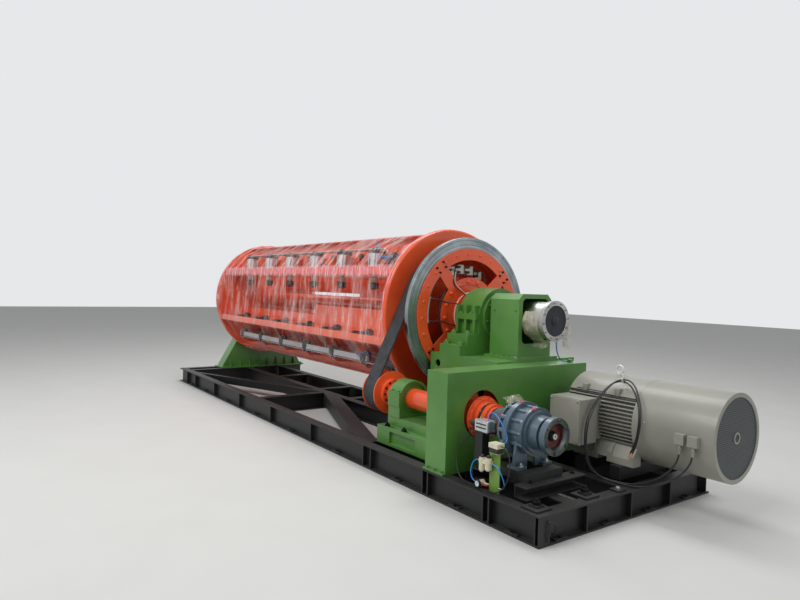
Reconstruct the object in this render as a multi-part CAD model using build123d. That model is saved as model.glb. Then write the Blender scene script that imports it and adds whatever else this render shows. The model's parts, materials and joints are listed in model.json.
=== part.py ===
from build123d import *
from math import acos, atan2, cos, hypot, pi, radians, sin, sqrt, tan
import os

# Rigid stranding machine. Millimetres. X runs along the cage axis towards the drive end,
# -Y faces the operator's aisle, Z is up. The origin is on the floor, under the cage axis,
# half way along the rows of bobbin places.

# Base frame of rolled beams
base_height = 200
beam_width = 100
beam_web = 8
beam_flange = 12
base_tail_x = -2710
base_drive_x = 4740
base_front_y = -1283
base_rear_y = 743
main_beam_y = 270
tail_beam_rear_y = 690
tail_beam_pitch = 230
wide_beam_x = 2640
guard_beam_x = 3674
cross_member_xs = (-1280, 0, 780)
front_cross_x = 240
stiffener_xs = (-2350, -1960, -1135, -210, 740, 1720, 2710, 2830, 3560, 3625, 4230, 4290, 4700)
stiffener_thickness = 12
end_stiffener_ys = (-810, -314, 182)
stiffener_inset = 2
weld_overlap = 1
thin_brace_width = 60
thin_brace_height = 100
thin_brace_start_x = -2120
wide_brace_width = 160
wide_brace_height = 140
wide_brace_wall = 10
wide_brace_end_x = 2670

# Cage
axis_height = 1335
cage_radius = 865
bobbin_pitch = 680
bobbins_per_row = 6
bays = 4
bay_tilt = 5
bay_half_width = 315
wall_thickness = 12
lip_width = 80
lip_radius = 860
tail_disc_x = -2330
tail_disc_thickness = 60
drive_disc_x = 2330
drive_disc_thickness = 50
disc_edge_radius = 20
drum_radius = 660
drum_wall = 30
drum_width = 200
ring_radius = 772
ring_inner_radius = 640
ring_thickness = 45
ring_chamfer = 3
end_plate_radius = 662
end_plate_thickness = 12
window_outer_radius = 545
window_inner_radius = 370
end_plate_bore = 300
spoke_width = 130
central_tube_radius = 110
central_tube_wall = 20
rib_thickness = 10
rib_offset = 105
rib_height = 560
rib_shoulder = 600
rib_neck = 480
rib_reach = 690
guard_depth = 330
guard_thickness = 6
guard_high_top = -40
guard_low_top = -170
guard_step_x = 0

# Main shaft and its bearings
bearing_clearance = 0.05
hub_radius = 250
hub_flange_radius = 360
hub_flange_thickness = 40
hub_step = 8
hub_step_radius = 295
collar_ring_radius = 215
collar_ring_length = 38
journal_radius = 175
bearing_journal_radius = 110
housing_x = 2785
housing_width = 285
housing_radius = 270
housing_bore_relief = 5
foot_half_width = 500
foot_height = 95
step_half_width = 410
step_height = 190
housing_rib_offsets = (12, 128, 245)
housing_rib_thickness = 28
housing_rib_half_width = 318
housing_rib_rise = 105
housing_split_height = 56
housing_cover_radius = 228
housing_cover_thickness = 22
tail_journal_radius = 95
tail_flange_radius = 240
tail_flange_thickness = 30
tail_bearing_width = 180
tail_bearing_radius = 190
tail_bearing_drop = 235
tail_bearing_gap = 130
shaft_end_length = 45

# Tail pedestal
pedestal_plate_half = 720
pedestal_plate_length = 330
pedestal_plate_thickness = 20
pedestal_inset = 30
pedestal_depth = 220
pedestal_web = 20
pedestal_foot_half = 690
pedestal_top_half = 190
pedestal_skin = 24
gusset_count = 8
gusset_pitch = 160
gusset_thickness = 10
gusset_reach = 70
gusset_height = 130
gusset_toe = 20

# Clamp cylinders and pintles
cylinder_depth = 570
cylinder_radius = 70
cylinder_top = 562
cap_radius = 76
cap_thickness = 30
nose_radius = 44
nose_clearance = 1
nose_reach = 2
rod_radius = 25
rod_top = 480
rod_bore_depth = 20
collar_radius = 40
collar_length = 60
collar_gap = 12
head_radius = 55
head_edge_radius = 44
head_length = 60
nose_cone_length = 15
nose_cone_radius = 25
fixed_pintle_reach = 60
fixed_nut_radius = 40
fixed_nut_length = 22
tie_bar_width = 60
tie_bar_height = 24

# Modules behind the window of the end plate
module_circle = 455
module_angles = (-24, -8, 8, 24)
module_size = (130, 80, 90)

# Belt drive
shaft_y = -891
shaft_z = 604
belt_width = 175
belt_thickness = 14
belt_clearance = 0.5
belt_side_clearance = 10
pulley_radius = 176
pulley_flange_radius = 200
pulley_flange_thickness = 13
pulley_gap = 2
pulley_hub_radius = 128
pulley_hub_length = 40
drive_shaft_radius = 90
primary_pulley_radius = 330
primary_pulley_width = 120
primary_rim = 25
primary_hub_radius = 130
primary_hole_radius = 45
primary_hole_circle = 190
primary_hole_count = 6
coupling_gap = 8
clutch_profile = ((0, 165), (16, 165), (16, 150), (34, 150), (34, 122), (70, 122), (70, 106), (95, 106))
coupling_start = 100
coupling_profile = ((0, 122), (42, 122), (42, 104), (63, 104))
reducer_shaft_radius = 50
reducer_shaft_depth = 60

# Headstock stand, guard box and slip ring
stand_x = 2655
stand_length = 895
stand_half_width = 500
stand_drop = 355
stand_plate = 28
stand_wall = 16
stand_hole_radius = 35
stand_hole_x = 110
stand_hole_drop = 67
guard_gap = 4
guard_box_width = 240
guard_box_front_y = -1250
guard_box_rear_y = 365
guard_box_top = 964
guard_box_wall = 10
guard_box_floor = 20
guard_foot_reach = 26
guard_foot_thickness = 14
guard_hole_radius = 187
guard_hole_rise = 22
guard_shaft_clearance = 15
ring_plate_margin = 50
ring_plate_thickness = 22
ring_box_x = 3155
ring_box_length = 350
ring_box_half_width = 210
ring_box_rise = 225
ring_box_chamfer = 50
ring_box_wall = 12
ring_hole_half_width = 165
ring_hole_drop = 215
ring_hole_rise = 185
ring_hole_corner = 45
slip_ring_reach = 235
slip_ring_radius = 160
slip_ring_rim = 175
slip_ring_rim_thickness = 36
slip_face_radius = 135
slip_face_depth = 8
slip_boss_radius = 42
slip_boss_height = 5
slip_shaft_radius = 60
slip_shaft_clearance = 3
slip_shaft_cover = 40
slip_fitting_radius = 10
slip_fitting_y = 38
hose_block_start = 232
hose_block_size = (34, 34, 24)

# Drive shaft bearing and slide
shaft_block_x = 2756
shaft_block_width = 170
shaft_block_radius = 160
shaft_block_flange_half = 168
shaft_block_flange_height = 130
shaft_block_recess_radius = 136
shaft_block_recess = 14
slide_x = 2690
slide_front_y = -1121
slide_rear_y = -661
slide_low_height = 157
slide_high_x = 2740
slide_high_height = 240
slide_step = 80
slide_slot_width = 26
slide_slot_depth = 40
slide_slot_length = 120
slide_slot_starts = (50, 270)
slide_recess = (190, 560, 25, 25, 30)

# Reducer and its stand
reducer_x = 3985
reducer_profile = ((0, 105), (64, 116), (128, 152), (157, 152), (157, 182), (174, 182), (174, 166), (220, 166),
                   (220, 196), (264, 196), (264, 160), (348, 160), (348, 172), (376, 172), (376, 150), (394, 150),
                   (394, 124), (464, 118), (464, 98), (499, 98), (499, 132), (545, 132))
lug_count = 12
lug_rings = ((173, 221, 176, 17), (263, 349, 162, 14))
input_recess_radius = 95
input_recess_depth = 50
input_shaft_radius = 22
input_shaft_length = 36
reducer_foot_z = 350
reducer_foot_pitch = 260
reducer_pad_x = (262, 362)
reducer_pad_width = 90
reducer_pad_thickness = 22
reducer_web_x = 300
reducer_web_thickness = 22
reducer_web_top = ((40, 120), (150, 60))
stand_frame_x = (3952, 4440)
stand_frame_y = (-1072, -710)
stand_frame_opening = (4060, 4350, -972, -806)
stand_frame_bottom = 290
cross_rails = ((3952, 4046, -1128, -640), (4396, 4508, -1150, -530))
cross_rail_wall = 10

# Clutch bracket and shift cylinder
clutch_post_x = 3960
clutch_post_width = 80
clutch_post_depth = 70
clutch_plate_overhang = 70
clutch_plate_thickness = 10
actuator_x = 3962
actuator_length = 130
actuator_half = 40
actuator_y = -1082
actuator_z = 606
actuator_rod_radius = 11
actuator_rod_length = 48
actuator_eye_radius = 22
actuator_eye_length = 36

# Air unit
air_post_x = 4200
air_post_width = 95
air_post_y = -1192
air_post_thickness = 8
air_post_height = 274
valve_neck = (4226, 4298, -1225, -1163, 38)
valve_box = (4220, 4304, -1229, -1159, 32)
filter_places = ((4150, 20, 332, 424), (4214, 24, 350, 432))
filter_y = -1217
filter_bridge = (4130, 4240, 385, 412)
gauge_x = 4130
gauge_z = 235
gauge_radius = 22
gauge_thickness = 26
gauge_pipe_radius = 7

# Main motor
motor_y = 170
motor_z = 615
motor_nose = ((-190, 45), (-60, 45), (-60, 150), (-45, 190), (-23, 250), (0, 292), (1, 312))
motor_frame_x = 3985
motor_frame_end = 4602
motor_frame_radius = 276
motor_fin_radius = 312
motor_fin_low = 459
motor_fin_count = 13
motor_fin_pitch = 28.7
motor_fin_thickness = 8
saddle_half_angle = 53
saddle_radius = 318
motor_cowl_x = 4620
motor_end_x = 5215
motor_collar_length = 18
cowl_radius = 317
cowl_wall = 6
cowl_fit = 0.3
cowl_spigot = 25
cowl_lip_radius = 285
cowl_lip_thickness = 6
grille_thickness = 8
grille_ring = (42, 28, 4)
rail_height = 100
rail_width = 90
rail_xs = (4190, 4503)
rail_front_y = -190
rail_rear_y = 530
foot_spread = 254
foot_length = 230
foot_width = 96
foot_thickness = 26
foot_rib_thickness = 40
foot_rib_edge = 78
foot_wall_height = 52
foot_wall_thickness = 16
foot_skirt = (4070, 4600, 14)
foot_skirt_top = (232, 470)
foot_skirt_bottom = 334
terminal_box = (4030, 4322, -380, -180, 430, 779)
terminal_neck_inset = 20
terminal_neck_depth = 90
terminal_corner = 8
sensor_box_xs = (4958, 5052)
sensor_box_length = 70
sensor_box_proud = 44
sensor_box_depth = 30
sensor_box_z = (568, 640)
gland_radius = 11
gland_length = 22
gland_y = -172

# Clamp plates on the end of the base
clamp_plate_size = 140
clamp_plate_thickness = 14
clamp_plate_places = ((4555, -1255), (4560, -775))
clamp_block_size = 70
clamp_block_height = 16

# Cords: diameter and the points of the route
motor_cable_1 = (12, (
    (4993, -172, 546), (4993, -172, 486), (4970, -182, 418), (4925, -195, 356), (4866, -207, 303),
    (4795, -219, 258), (4718, -230, 225), (4640, -242, 209), (4562, -254, 207), (4488, -266, 208),
    (4424, -284, 218), (4380, -312, 258), (4358, -336, 322), (4350, -350, 404), (4348, -356, 490),
    (4348, -350, 576), (4348, -326, 658), (4350, -274, 732), (4352, -204, 796), (4356, -130, 852),
    (4372, -66, 894), (4412, -32, 912), (4466, -26, 910), (4526, -48, 888), (4588, -90, 846),
    (4640, -132, 786), (4670, -160, 716), (4680, -178, 640), (4674, -184, 560), (4654, -180, 484),
    (4618, -172, 418)))
motor_cable_2 = (12, (
    (5087, -172, 546), (5087, -172, 484), (5060, -186, 416), (5010, -200, 352), (4944, -214, 298),
    (4866, -229, 255), (4786, -242, 224), (4706, -256, 209), (4628, -270, 207), (4552, -283, 208),
    (4484, -298, 216), (4428, -322, 248), (4396, -350, 306), (4382, -368, 384), (4378, -376, 472),
    (4378, -370, 560), (4378, -348, 646), (4379, -298, 728), (4381, -226, 800), (4386, -150, 860),
    (4402, -86, 908), (4444, -48, 932), (4502, -42, 932), (4562, -66, 906), (4616, -106, 862),
    (4662, -146, 806), (4694, -176, 738), (4706, -196, 660), (4700, -202, 576), (4680, -198, 496),
    (4648, -190, 426)))
slip_ring_hose = (10, (
    (3722, 38, 1150), (3722, 38, 1112), (3723, 46, 1070), (3724, 66, 1030), (3722, 96, 998),
    (3715, 136, 979), (3706, 188, 974), (3706, 232, 974)))
air_hose_1 = (8, (
    (4062, -1082, 646), (4062, -1082, 678), (4082, -1085, 708), (4122, -1092, 716), (4164, -1100, 702),
    (4204, -1106, 674), (4236, -1106, 640), (4258, -1099, 598), (4268, -1092, 558), (4268, -1122, 528),
    (4268, -1159, 528)))
air_hose_2 = (8, (
    (4130, -1217, 398), (4102, -1217, 398), (4072, -1220, 382), (4054, -1226, 346), (4046, -1227, 302),
    (4049, -1221, 260), (4074, -1217, 235), (4108, -1217, 235)))
air_hose_3 = (8, (
    (4240, -1217, 398), (4270, -1217, 398), (4302, -1216, 384), (4330, -1212, 350), (4346, -1202, 306),
    (4348, -1190, 261), (4326, -1188, 236), (4295, -1188, 236)))
clutch_cable = (8, (
    (4304, -1190, 528), (4338, -1190, 528), (4370, -1190, 500), (4388, -1191, 446), (4392, -1194, 384),
    (4384, -1199, 324), (4366, -1207, 274), (4336, -1218, 234), (4290, -1228, 211), (4228, -1234, 206),
    (4160, -1236, 206), (4092, -1232, 206), (4024, -1226, 206), (3960, -1219, 210), (3906, -1210, 232),
    (3868, -1200, 276), (3848, -1188, 330), (3842, -1172, 388), (3850, -1150, 444), (3870, -1124, 488),
    (3898, -1102, 522), (3898, -1102, 556)))

bay_centres = [(i - (bobbins_per_row - 1) / 2) * bobbin_pitch for i in range(bobbins_per_row)]
tail_disc_inner_x = tail_disc_x + tail_disc_thickness
drum_x = drive_disc_x + drive_disc_thickness
ring_x = drum_x + drum_width
end_plate_x = ring_x + ring_thickness
belt_x = drum_x + belt_side_clearance
stand_top = axis_height - stand_drop
ring_box_top = axis_height + ring_box_rise
slip_ring_end_x = ring_box_x + ring_box_length + slip_ring_reach
slip_fitting_bottom = slip_ring_hose[1][0][2]
guard_box_x = stand_x + stand_length + guard_gap
clutch_x = guard_box_x + guard_box_width + coupling_gap
front_beam_y = base_front_y + beam_width / 2
front_inner_y = base_front_y + beam_width
rear_beam_y = base_rear_y - beam_width / 2


def block(x0, x1, y0, y1, z0, z1):
    """Box between two corners."""
    return Pos((x0 + x1) / 2, (y0 + y1) / 2, (z0 + z1) / 2) * Box(x1 - x0, y1 - y0, z1 - z0)


def across(x, y=0.0, z=0.0):
    """Plane across X, with its own x along Y and its own y along Z."""
    return Plane((x, y, z), x_dir=(0, 1, 0), z_dir=(1, 0, 0))


def pipe(x0, x1, radius, bore=0.0, y=0.0, z=axis_height):
    """Round bar or tube along X."""
    section = Circle(radius)
    if bore:
        section = section - Circle(bore)
    return extrude(across(x0, y, z) * section, amount=x1 - x0)


def turned(points, y=0.0, z=axis_height):
    """Solid of revolution about an axis along X; points are (x, radius)."""
    outline = [(points[0][0], 0)] + list(points) + [(points[-1][0], 0)]
    face = make_face(Plane((0, 0, 0), x_dir=(1, 0, 0), z_dir=(0, -1, 0)) * Polyline(*outline, close=True))
    return Pos(0, y, z) * revolve(face, Axis.X, 360)


def bay_plane(index):
    """Plane of one bay: x along the cage, y across the bay, z outwards from the axis."""
    angle = radians(bay_tilt + index * 360 / bays)
    return Plane((0, 0, axis_height), x_dir=(1, 0, 0), z_dir=(0, -cos(angle), sin(angle)))


def beam_section(width=beam_width):
    """Rolled I section, centred."""
    pocket = Rectangle((width - beam_web) / 2, base_height - 2 * beam_flange)
    section = Rectangle(width, base_height)
    for side in (-1, 1):
        section -= Pos(side * (width + beam_web) / 4, 0) * pocket
    return section


def beam_along_x(x0, x1, y):
    return extrude(across(x0, y, base_height / 2) * beam_section(), amount=x1 - x0)


def beam_along_y(y0, y1, x):
    plane = Plane((x, y0, base_height / 2), x_dir=(1, 0, 0), z_dir=(0, 1, 0))
    return extrude(plane * beam_section(), amount=y1 - y0)


def base_front_beam():
    """Front beam of the base, with plates between its flanges."""
    beam = beam_along_x(base_tail_x, base_drive_x, front_beam_y)
    for x in stiffener_xs:
        beam += block(x - stiffener_thickness / 2, x + stiffener_thickness / 2,
                      base_front_y + stiffener_inset, front_beam_y - beam_web / 2 + weld_overlap,
                      beam_flange - weld_overlap, base_height - beam_flange + weld_overlap)
    return beam + block(base_drive_x - stiffener_thickness, base_drive_x, base_front_y + stiffener_inset,
                        front_inner_y, beam_flange - weld_overlap, base_height - beam_flange + weld_overlap)


def base_main_beams():
    """Beams under the cage axis, and the one under the drive shaft."""
    start = base_tail_x + beam_width / 2 + tail_beam_pitch + beam_width / 2
    wide_left = wide_beam_x - beam_width / 2
    wide_right = wide_beam_x + beam_width / 2
    end = base_drive_x - beam_width
    beams = []
    for y in (-main_beam_y, main_beam_y):
        beams.append(beam_along_x(start, wide_left, y))
        beams.append(beam_along_x(wide_right, end, y))
    beams.append(beam_along_x(wide_right, end, shaft_y))
    return beams


def base_rear_beam():
    """Rear beam of the wide part of the base."""
    return beam_along_x(wide_beam_x - beam_width / 2, base_drive_x, rear_beam_y)


def base_end_beams():
    """Beams across both ends of the base and across the start of its wide part."""
    rear_inner_y = base_rear_y - beam_width
    tail = base_tail_x + beam_width / 2
    drive = beam_along_y(front_inner_y, rear_inner_y, base_drive_x - beam_width / 2)
    for y in end_stiffener_ys:
        drive += block(base_drive_x - (beam_width - beam_web) / 2 - weld_overlap, base_drive_x - stiffener_inset,
                       y - stiffener_thickness / 2, y + stiffener_thickness / 2,
                       beam_flange - weld_overlap, base_height - beam_flange + weld_overlap)
    return [
        beam_along_y(front_inner_y, tail_beam_rear_y, tail),
        beam_along_y(front_inner_y, tail_beam_rear_y, tail + tail_beam_pitch),
        beam_along_y(front_inner_y, rear_inner_y, wide_beam_x),
        drive,
    ]


def base_cross_members():
    """Short beams between the long ones."""
    half = beam_width / 2
    inner = main_beam_y - half
    outer = main_beam_y + half
    members = [beam_along_y(-inner, inner, x) for x in cross_member_xs + (guard_beam_x,)]
    members.append(beam_along_y(front_inner_y, -outer, front_cross_x))
    members.append(beam_along_y(front_inner_y, shaft_y - half, guard_beam_x))
    members.append(beam_along_y(shaft_y + half, -outer, guard_beam_x))
    members.append(beam_along_y(outer, base_rear_y - beam_width, guard_beam_x))
    return members


def brace(start, end, section, x_limits):
    """Bar between two points in plan, trimmed by the beams that it meets."""
    run = Vector(end[0] - start[0], end[1] - start[1], 0)
    direction = run.normalized()
    side = Vector(direction.Y, -direction.X, 0)
    back = Vector(start[0], start[1], base_height) - direction * beam_width * 3
    plane = Plane((back.X, back.Y, back.Z), x_dir=side, z_dir=direction)
    bar = extrude(plane * section, amount=run.length + beam_width * 6)
    zone = block(x_limits[0], x_limits[1], front_inner_y, -main_beam_y - beam_width / 2, 0, base_height)
    return bar & zone


def base_diagonals():
    """Thin and wide diagonal braces of the front bay of the base."""
    half = beam_width / 2
    node_y = -main_beam_y - half
    left = front_cross_x - half
    right = front_cross_x + half
    thin = Pos(0, thin_brace_height / 2) * Rectangle(thin_brace_width, thin_brace_height)
    wide = Pos(0, wide_brace_height / 2) * Rectangle(wide_brace_width, wide_brace_height)
    wide -= Pos(0, (wide_brace_height + wide_brace_wall) / 2) * Rectangle(
        wide_brace_width - 2 * wide_brace_wall, wide_brace_height - wide_brace_wall)
    wide_limits = (right, wide_beam_x - half)
    thin_limits = (base_tail_x, left)
    return [
        brace((thin_brace_start_x, front_inner_y), (left - thin_brace_width, node_y), thin, thin_limits),
        brace((right + wide_brace_width, node_y), (wide_brace_end_x, front_inner_y), wide, wide_limits),
    ]


def tail_disc():
    """Plain end disc of the cage."""
    disc = pipe(tail_disc_x, tail_disc_inner_x, cage_radius)
    return fillet(disc.edges().filter_by(GeomType.CIRCLE).group_by(Axis.X)[0], disc_edge_radius)


def drive_disc():
    """End disc of the cage that carries the belt drum."""
    disc = pipe(drive_disc_x, drum_x, cage_radius)
    return fillet(disc.edges().filter_by(GeomType.CIRCLE).group_by(Axis.X)[-1], disc_edge_radius)


def belt_drum():
    return pipe(drum_x, ring_x, drum_radius, drum_radius - drum_wall)


def brake_ring():
    """Machined steel ring on the end of the drum."""
    ring = pipe(ring_x, end_plate_x, ring_radius, ring_inner_radius)
    return chamfer(ring.edges().filter_by(GeomType.CIRCLE).sort_by(SortBy.RADIUS)[-2:], ring_chamfer)


def end_plate():
    """Ring plate with windows between spokes that point at the beams of the cage."""
    plane = across(end_plate_x, 0, axis_height)
    plate = Circle(end_plate_radius) - Circle(end_plate_bore)
    windows = Circle(window_outer_radius) - Circle(window_inner_radius)
    for k in range(bays):
        angle = bay_tilt + 45 + k * 360 / bays
        arm = Rot(0, 0, 180 - angle) * Pos(window_outer_radius, 0)
        windows -= arm * Rectangle(2 * window_outer_radius, spoke_width)
    return extrude(plane * (plate - windows), amount=end_plate_thickness)


def main_shaft():
    """Tail journal, core tube, and the hub, journal and hollow end of the drive side."""
    tail_end = tail_disc_x - tail_flange_thickness - tail_bearing_gap - tail_bearing_width - shaft_end_length
    tail_start = tail_disc_x - tail_flange_thickness
    tail = turned([(tail_end, tail_journal_radius), (tail_start, tail_journal_radius),
                   (tail_start, tail_flange_radius), (tail_disc_x, tail_flange_radius)])
    core = pipe(tail_disc_inner_x, drive_disc_x, central_tube_radius, central_tube_radius - central_tube_wall)
    flange_x = end_plate_x - hub_flange_thickness
    step_x = end_plate_x + hub_step
    journal_x = step_x + collar_ring_length
    bearing_x = housing_x - housing_bore_relief
    bearing_end = housing_x + housing_width - housing_bore_relief
    drive = turned([
        (drum_x, hub_radius), (flange_x, hub_radius),
        (flange_x, hub_flange_radius), (end_plate_x, hub_flange_radius),
        (end_plate_x, hub_step_radius), (step_x, hub_step_radius),
        (step_x, collar_ring_radius), (journal_x, collar_ring_radius),
        (journal_x, journal_radius), (bearing_x, journal_radius),
        (bearing_x, bearing_journal_radius), (bearing_end, bearing_journal_radius),
        (bearing_end, slip_shaft_radius),
        (slip_ring_end_x - slip_shaft_cover - slip_shaft_clearance, slip_shaft_radius)])
    return [tail, core, drive]


def wall_reach():
    """Distance from the axis to the lips of a beam, so that their corners stay in the cage."""
    return sqrt(lip_radius ** 2 - (bay_half_width + lip_width) ** 2)


def cage_beam(index):
    """V beam between two bays: both walls with their lips and the ribs beside the cylinders."""
    n0 = bay_half_width
    n1 = n0 + wall_thickness
    reach = wall_reach()
    plane = bay_plane(index)
    outline = [(n0, n0), (reach, n0), (reach, n0 + lip_width), (reach - wall_thickness, n0 + lip_width),
               (reach - wall_thickness, n1), (n1, n1), (n1, reach - wall_thickness),
               (n0 + lip_width, reach - wall_thickness), (n0 + lip_width, reach), (n0, reach)]
    local = Plane((tail_disc_inner_x, 0, 0), x_dir=(0, 1, 0), z_dir=(1, 0, 0))
    body = extrude(local * make_face(Polyline(*outline, close=True)), amount=drive_disc_x - tail_disc_inner_x)
    seat = n1 - weld_overlap
    rib_outline = [(seat, seat), (rib_height, seat), (rib_height, rib_shoulder), (rib_neck, rib_reach),
                   (seat, rib_reach)]
    for x in bay_centres:
        rib = Plane((x - rib_offset, 0, 0), x_dir=(0, 1, 0), z_dir=(1, 0, 0)) * make_face(
            Polyline(*rib_outline, close=True))
        body += extrude(rib, amount=rib_thickness)
    for x in bay_centres:
        hole = Pos(x, n0 + wall_thickness / 2, cylinder_depth) * Rot(90, 0, 0)
        body -= hole * Cylinder(nose_radius + nose_clearance, wall_thickness * 2)
    return plane * body


def clamp_cylinders():
    """Pneumatic cylinders on the leading wall of each bay, each with its blind bore."""
    n1 = bay_half_width + wall_thickness
    nose_end = bay_half_width - nose_reach
    solids = []
    for k in range(bays):
        plane = bay_plane(k)
        for x in bay_centres:
            seat = Plane((x, n1, cylinder_depth), x_dir=(1, 0, 0), z_dir=(0, 1, 0))
            body = extrude(seat * Circle(cylinder_radius), amount=cylinder_top - n1)
            body += extrude(seat * Circle(nose_radius), amount=nose_end - n1)
            cap = Plane((x, cylinder_top, cylinder_depth), x_dir=(1, 0, 0), z_dir=(0, 1, 0))
            body += extrude(cap * Circle(cap_radius), amount=cap_thickness)
            mouth = Plane((x, nose_end, cylinder_depth), x_dir=(1, 0, 0), z_dir=(0, 1, 0))
            depth = rod_top + rod_bore_depth - nose_end
            body -= extrude(mouth * Circle(rod_radius + bearing_clearance), amount=depth)
            solids.append(plane * body)
    return solids


def pintle_points():
    """Outline of a moving pintle: distances across the bay and radii, from nose to rod end."""
    collar_end = bay_half_width - collar_gap
    collar_start = collar_end - collar_length
    head_start = collar_start - head_length
    tip = head_start - nose_cone_length
    return [(tip, nose_cone_radius), (head_start, head_edge_radius), (head_start, head_radius),
            (collar_start, head_radius), (collar_start, collar_radius), (collar_end, collar_radius),
            (collar_end, rod_radius), (rod_top, rod_radius)]


def across_bay(points, x):
    """Solid of revolution about an axis across a bay, at one bobbin place."""
    outline = [(0, points[0][0])] + [(r, n) for n, r in points] + [(0, points[-1][0])]
    face = make_face(Polyline(*outline, close=True))
    return Pos(x, 0, cylinder_depth) * revolve(face, Axis.Y, 360)


def clamp_pintles(index):
    """Row of moving pintles in one bay."""
    return [bay_plane(index) * across_bay(pintle_points(), x) for x in bay_centres]


def fixed_pintles():
    """Fixed pintles on the trailing wall of each bay."""
    n0 = bay_half_width
    inner = -n0 + fixed_pintle_reach
    points = [(-n0 - wall_thickness - fixed_nut_length, fixed_nut_radius),
              (-n0 - wall_thickness, fixed_nut_radius)]
    head = [(-n0, head_radius), (inner - nose_cone_length, head_radius),
            (inner - nose_cone_length, head_edge_radius), (inner, nose_cone_radius)]
    solids = []
    for k in range(bays):
        for x in bay_centres:
            solids.append(bay_plane(k) * across_bay(points, x))
            solids.append(bay_plane(k) * across_bay(head, x))
    return solids


def cylinder_tie_bars():
    """Bar over the caps of each row of cylinders."""
    top = cylinder_top + cap_thickness
    start = bay_centres[0] - cap_radius
    end = bay_centres[-1] + cap_radius
    return [bay_plane(k) * block(start, end, top, top + tie_bar_height,
                                 cylinder_depth - tie_bar_width / 2, cylinder_depth + tie_bar_width / 2)
            for k in range(bays)]


def guard_panels():
    """Sheet guards between the bays and the core, half the height of the bay."""
    solids = []
    for k in range(bays):
        low = block(tail_disc_inner_x, guard_step_x, -bay_half_width, guard_low_top,
                    guard_depth, guard_depth + guard_thickness)
        high = block(guard_step_x, drive_disc_x, -bay_half_width, guard_high_top,
                     guard_depth, guard_depth + guard_thickness)
        solids.append(bay_plane(k) * (low + high))
    return solids


def control_modules():
    """Valve and signal modules on the drive disc, behind the upper window."""
    depth, width, height = module_size
    solids = []
    for offset in module_angles:
        angle = radians(bay_tilt + 360 / bays + offset)
        y = -cos(angle) * module_circle
        z = axis_height + sin(angle) * module_circle
        solids.append(block(drum_x, drum_x + depth, y - width / 2, y + width / 2, z - height / 2, z + height / 2))
    return solids


def tail_pedestal():
    """Pedestal under the tail bearing: base plate, web, sloping flanges and a row of gussets."""
    bottom = base_height + pedestal_plate_thickness
    top = axis_height - tail_bearing_drop
    start = base_tail_x + pedestal_inset
    end = start + pedestal_depth
    plate = block(base_tail_x, base_tail_x + pedestal_plate_length, -pedestal_plate_half, pedestal_plate_half,
                  base_height, bottom)
    outline = [(-pedestal_foot_half, bottom), (pedestal_foot_half, bottom),
               (pedestal_top_half, top), (-pedestal_top_half, top)]
    foot = pedestal_foot_half - pedestal_skin
    head = pedestal_top_half - pedestal_skin / 2
    pocket = [(-foot, bottom), (foot, bottom), (head, top - pedestal_web), (-head, top - pedestal_web)]
    body = extrude(across(start) * make_face(Polyline(*outline, close=True)), amount=pedestal_depth)
    body -= extrude(across(start) * make_face(Polyline(*pocket, close=True)), amount=pedestal_depth - pedestal_web)
    pedestal = plate + body
    for i in range(gusset_count):
        y = (i - (gusset_count - 1) / 2) * gusset_pitch
        face = Plane((end, y - gusset_thickness / 2, bottom), x_dir=(1, 0, 0), z_dir=(0, -1, 0)) * make_face(
            Polyline((0, 0), (gusset_reach, 0), (gusset_reach, gusset_toe), (0, gusset_height), close=True))
        pedestal += extrude(face, amount=-gusset_thickness)
    return pedestal


def tail_bearing():
    """Tail bearing housing, round over a block, with the bore of the tail journal."""
    end = tail_disc_x - tail_flange_thickness - tail_bearing_gap
    section = Circle(tail_bearing_radius)
    section += Pos(0, -tail_bearing_drop / 2) * Rectangle(2 * tail_bearing_radius, tail_bearing_drop)
    section -= Circle(tail_journal_radius + bearing_clearance)
    return extrude(across(end - tail_bearing_width, 0, axis_height) * section, amount=tail_bearing_width)


def headstock_stand():
    """Welded box under the headstock, with a thicker top plate and a round hole in its front."""
    end = stand_x + stand_length
    top = stand_top - stand_plate
    box = block(stand_x, end, -stand_half_width, stand_half_width, base_height, top)
    box -= block(stand_x + stand_wall, end - stand_wall, -stand_half_width + stand_wall,
                 stand_half_width - stand_wall, base_height + stand_wall, top)
    hole = Plane((stand_x + stand_hole_x, -stand_half_width - 1, top - stand_hole_drop),
                 x_dir=(1, 0, 0), z_dir=(0, 1, 0))
    box -= extrude(hole * Circle(stand_hole_radius), amount=stand_wall + 2)
    return box + block(stand_x, end, -stand_half_width, stand_half_width, top, stand_top)


def belt_guard_box():
    """Guard box of the first belt stage: closed sheet box with a large hole round the shaft."""
    x0 = guard_box_x
    x1 = x0 + guard_box_width
    wall = guard_box_wall
    box = block(x0, x1, guard_box_front_y, guard_box_rear_y, base_height, guard_box_top)
    box -= block(x0 + wall, x1 - wall, guard_box_front_y + wall, guard_box_rear_y - wall,
                 base_height + guard_box_floor, guard_box_top - wall)
    box += block(x0, x1, guard_box_front_y - guard_foot_reach, guard_box_front_y,
                 base_height, base_height + guard_foot_thickness)
    box -= pipe(x1 - wall, x1, guard_hole_radius, 0, shaft_y, shaft_z + guard_hole_rise)
    box -= pipe(x0, x0 + wall, drive_shaft_radius + guard_shaft_clearance, 0, shaft_y, shaft_z)
    length, width, height = hose_block_size
    x = slip_ring_hose[1][-1][0]
    return box + block(x - length / 2, x + length / 2, hose_block_start, hose_block_start + width,
                       guard_box_top, guard_box_top + height)


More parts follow.
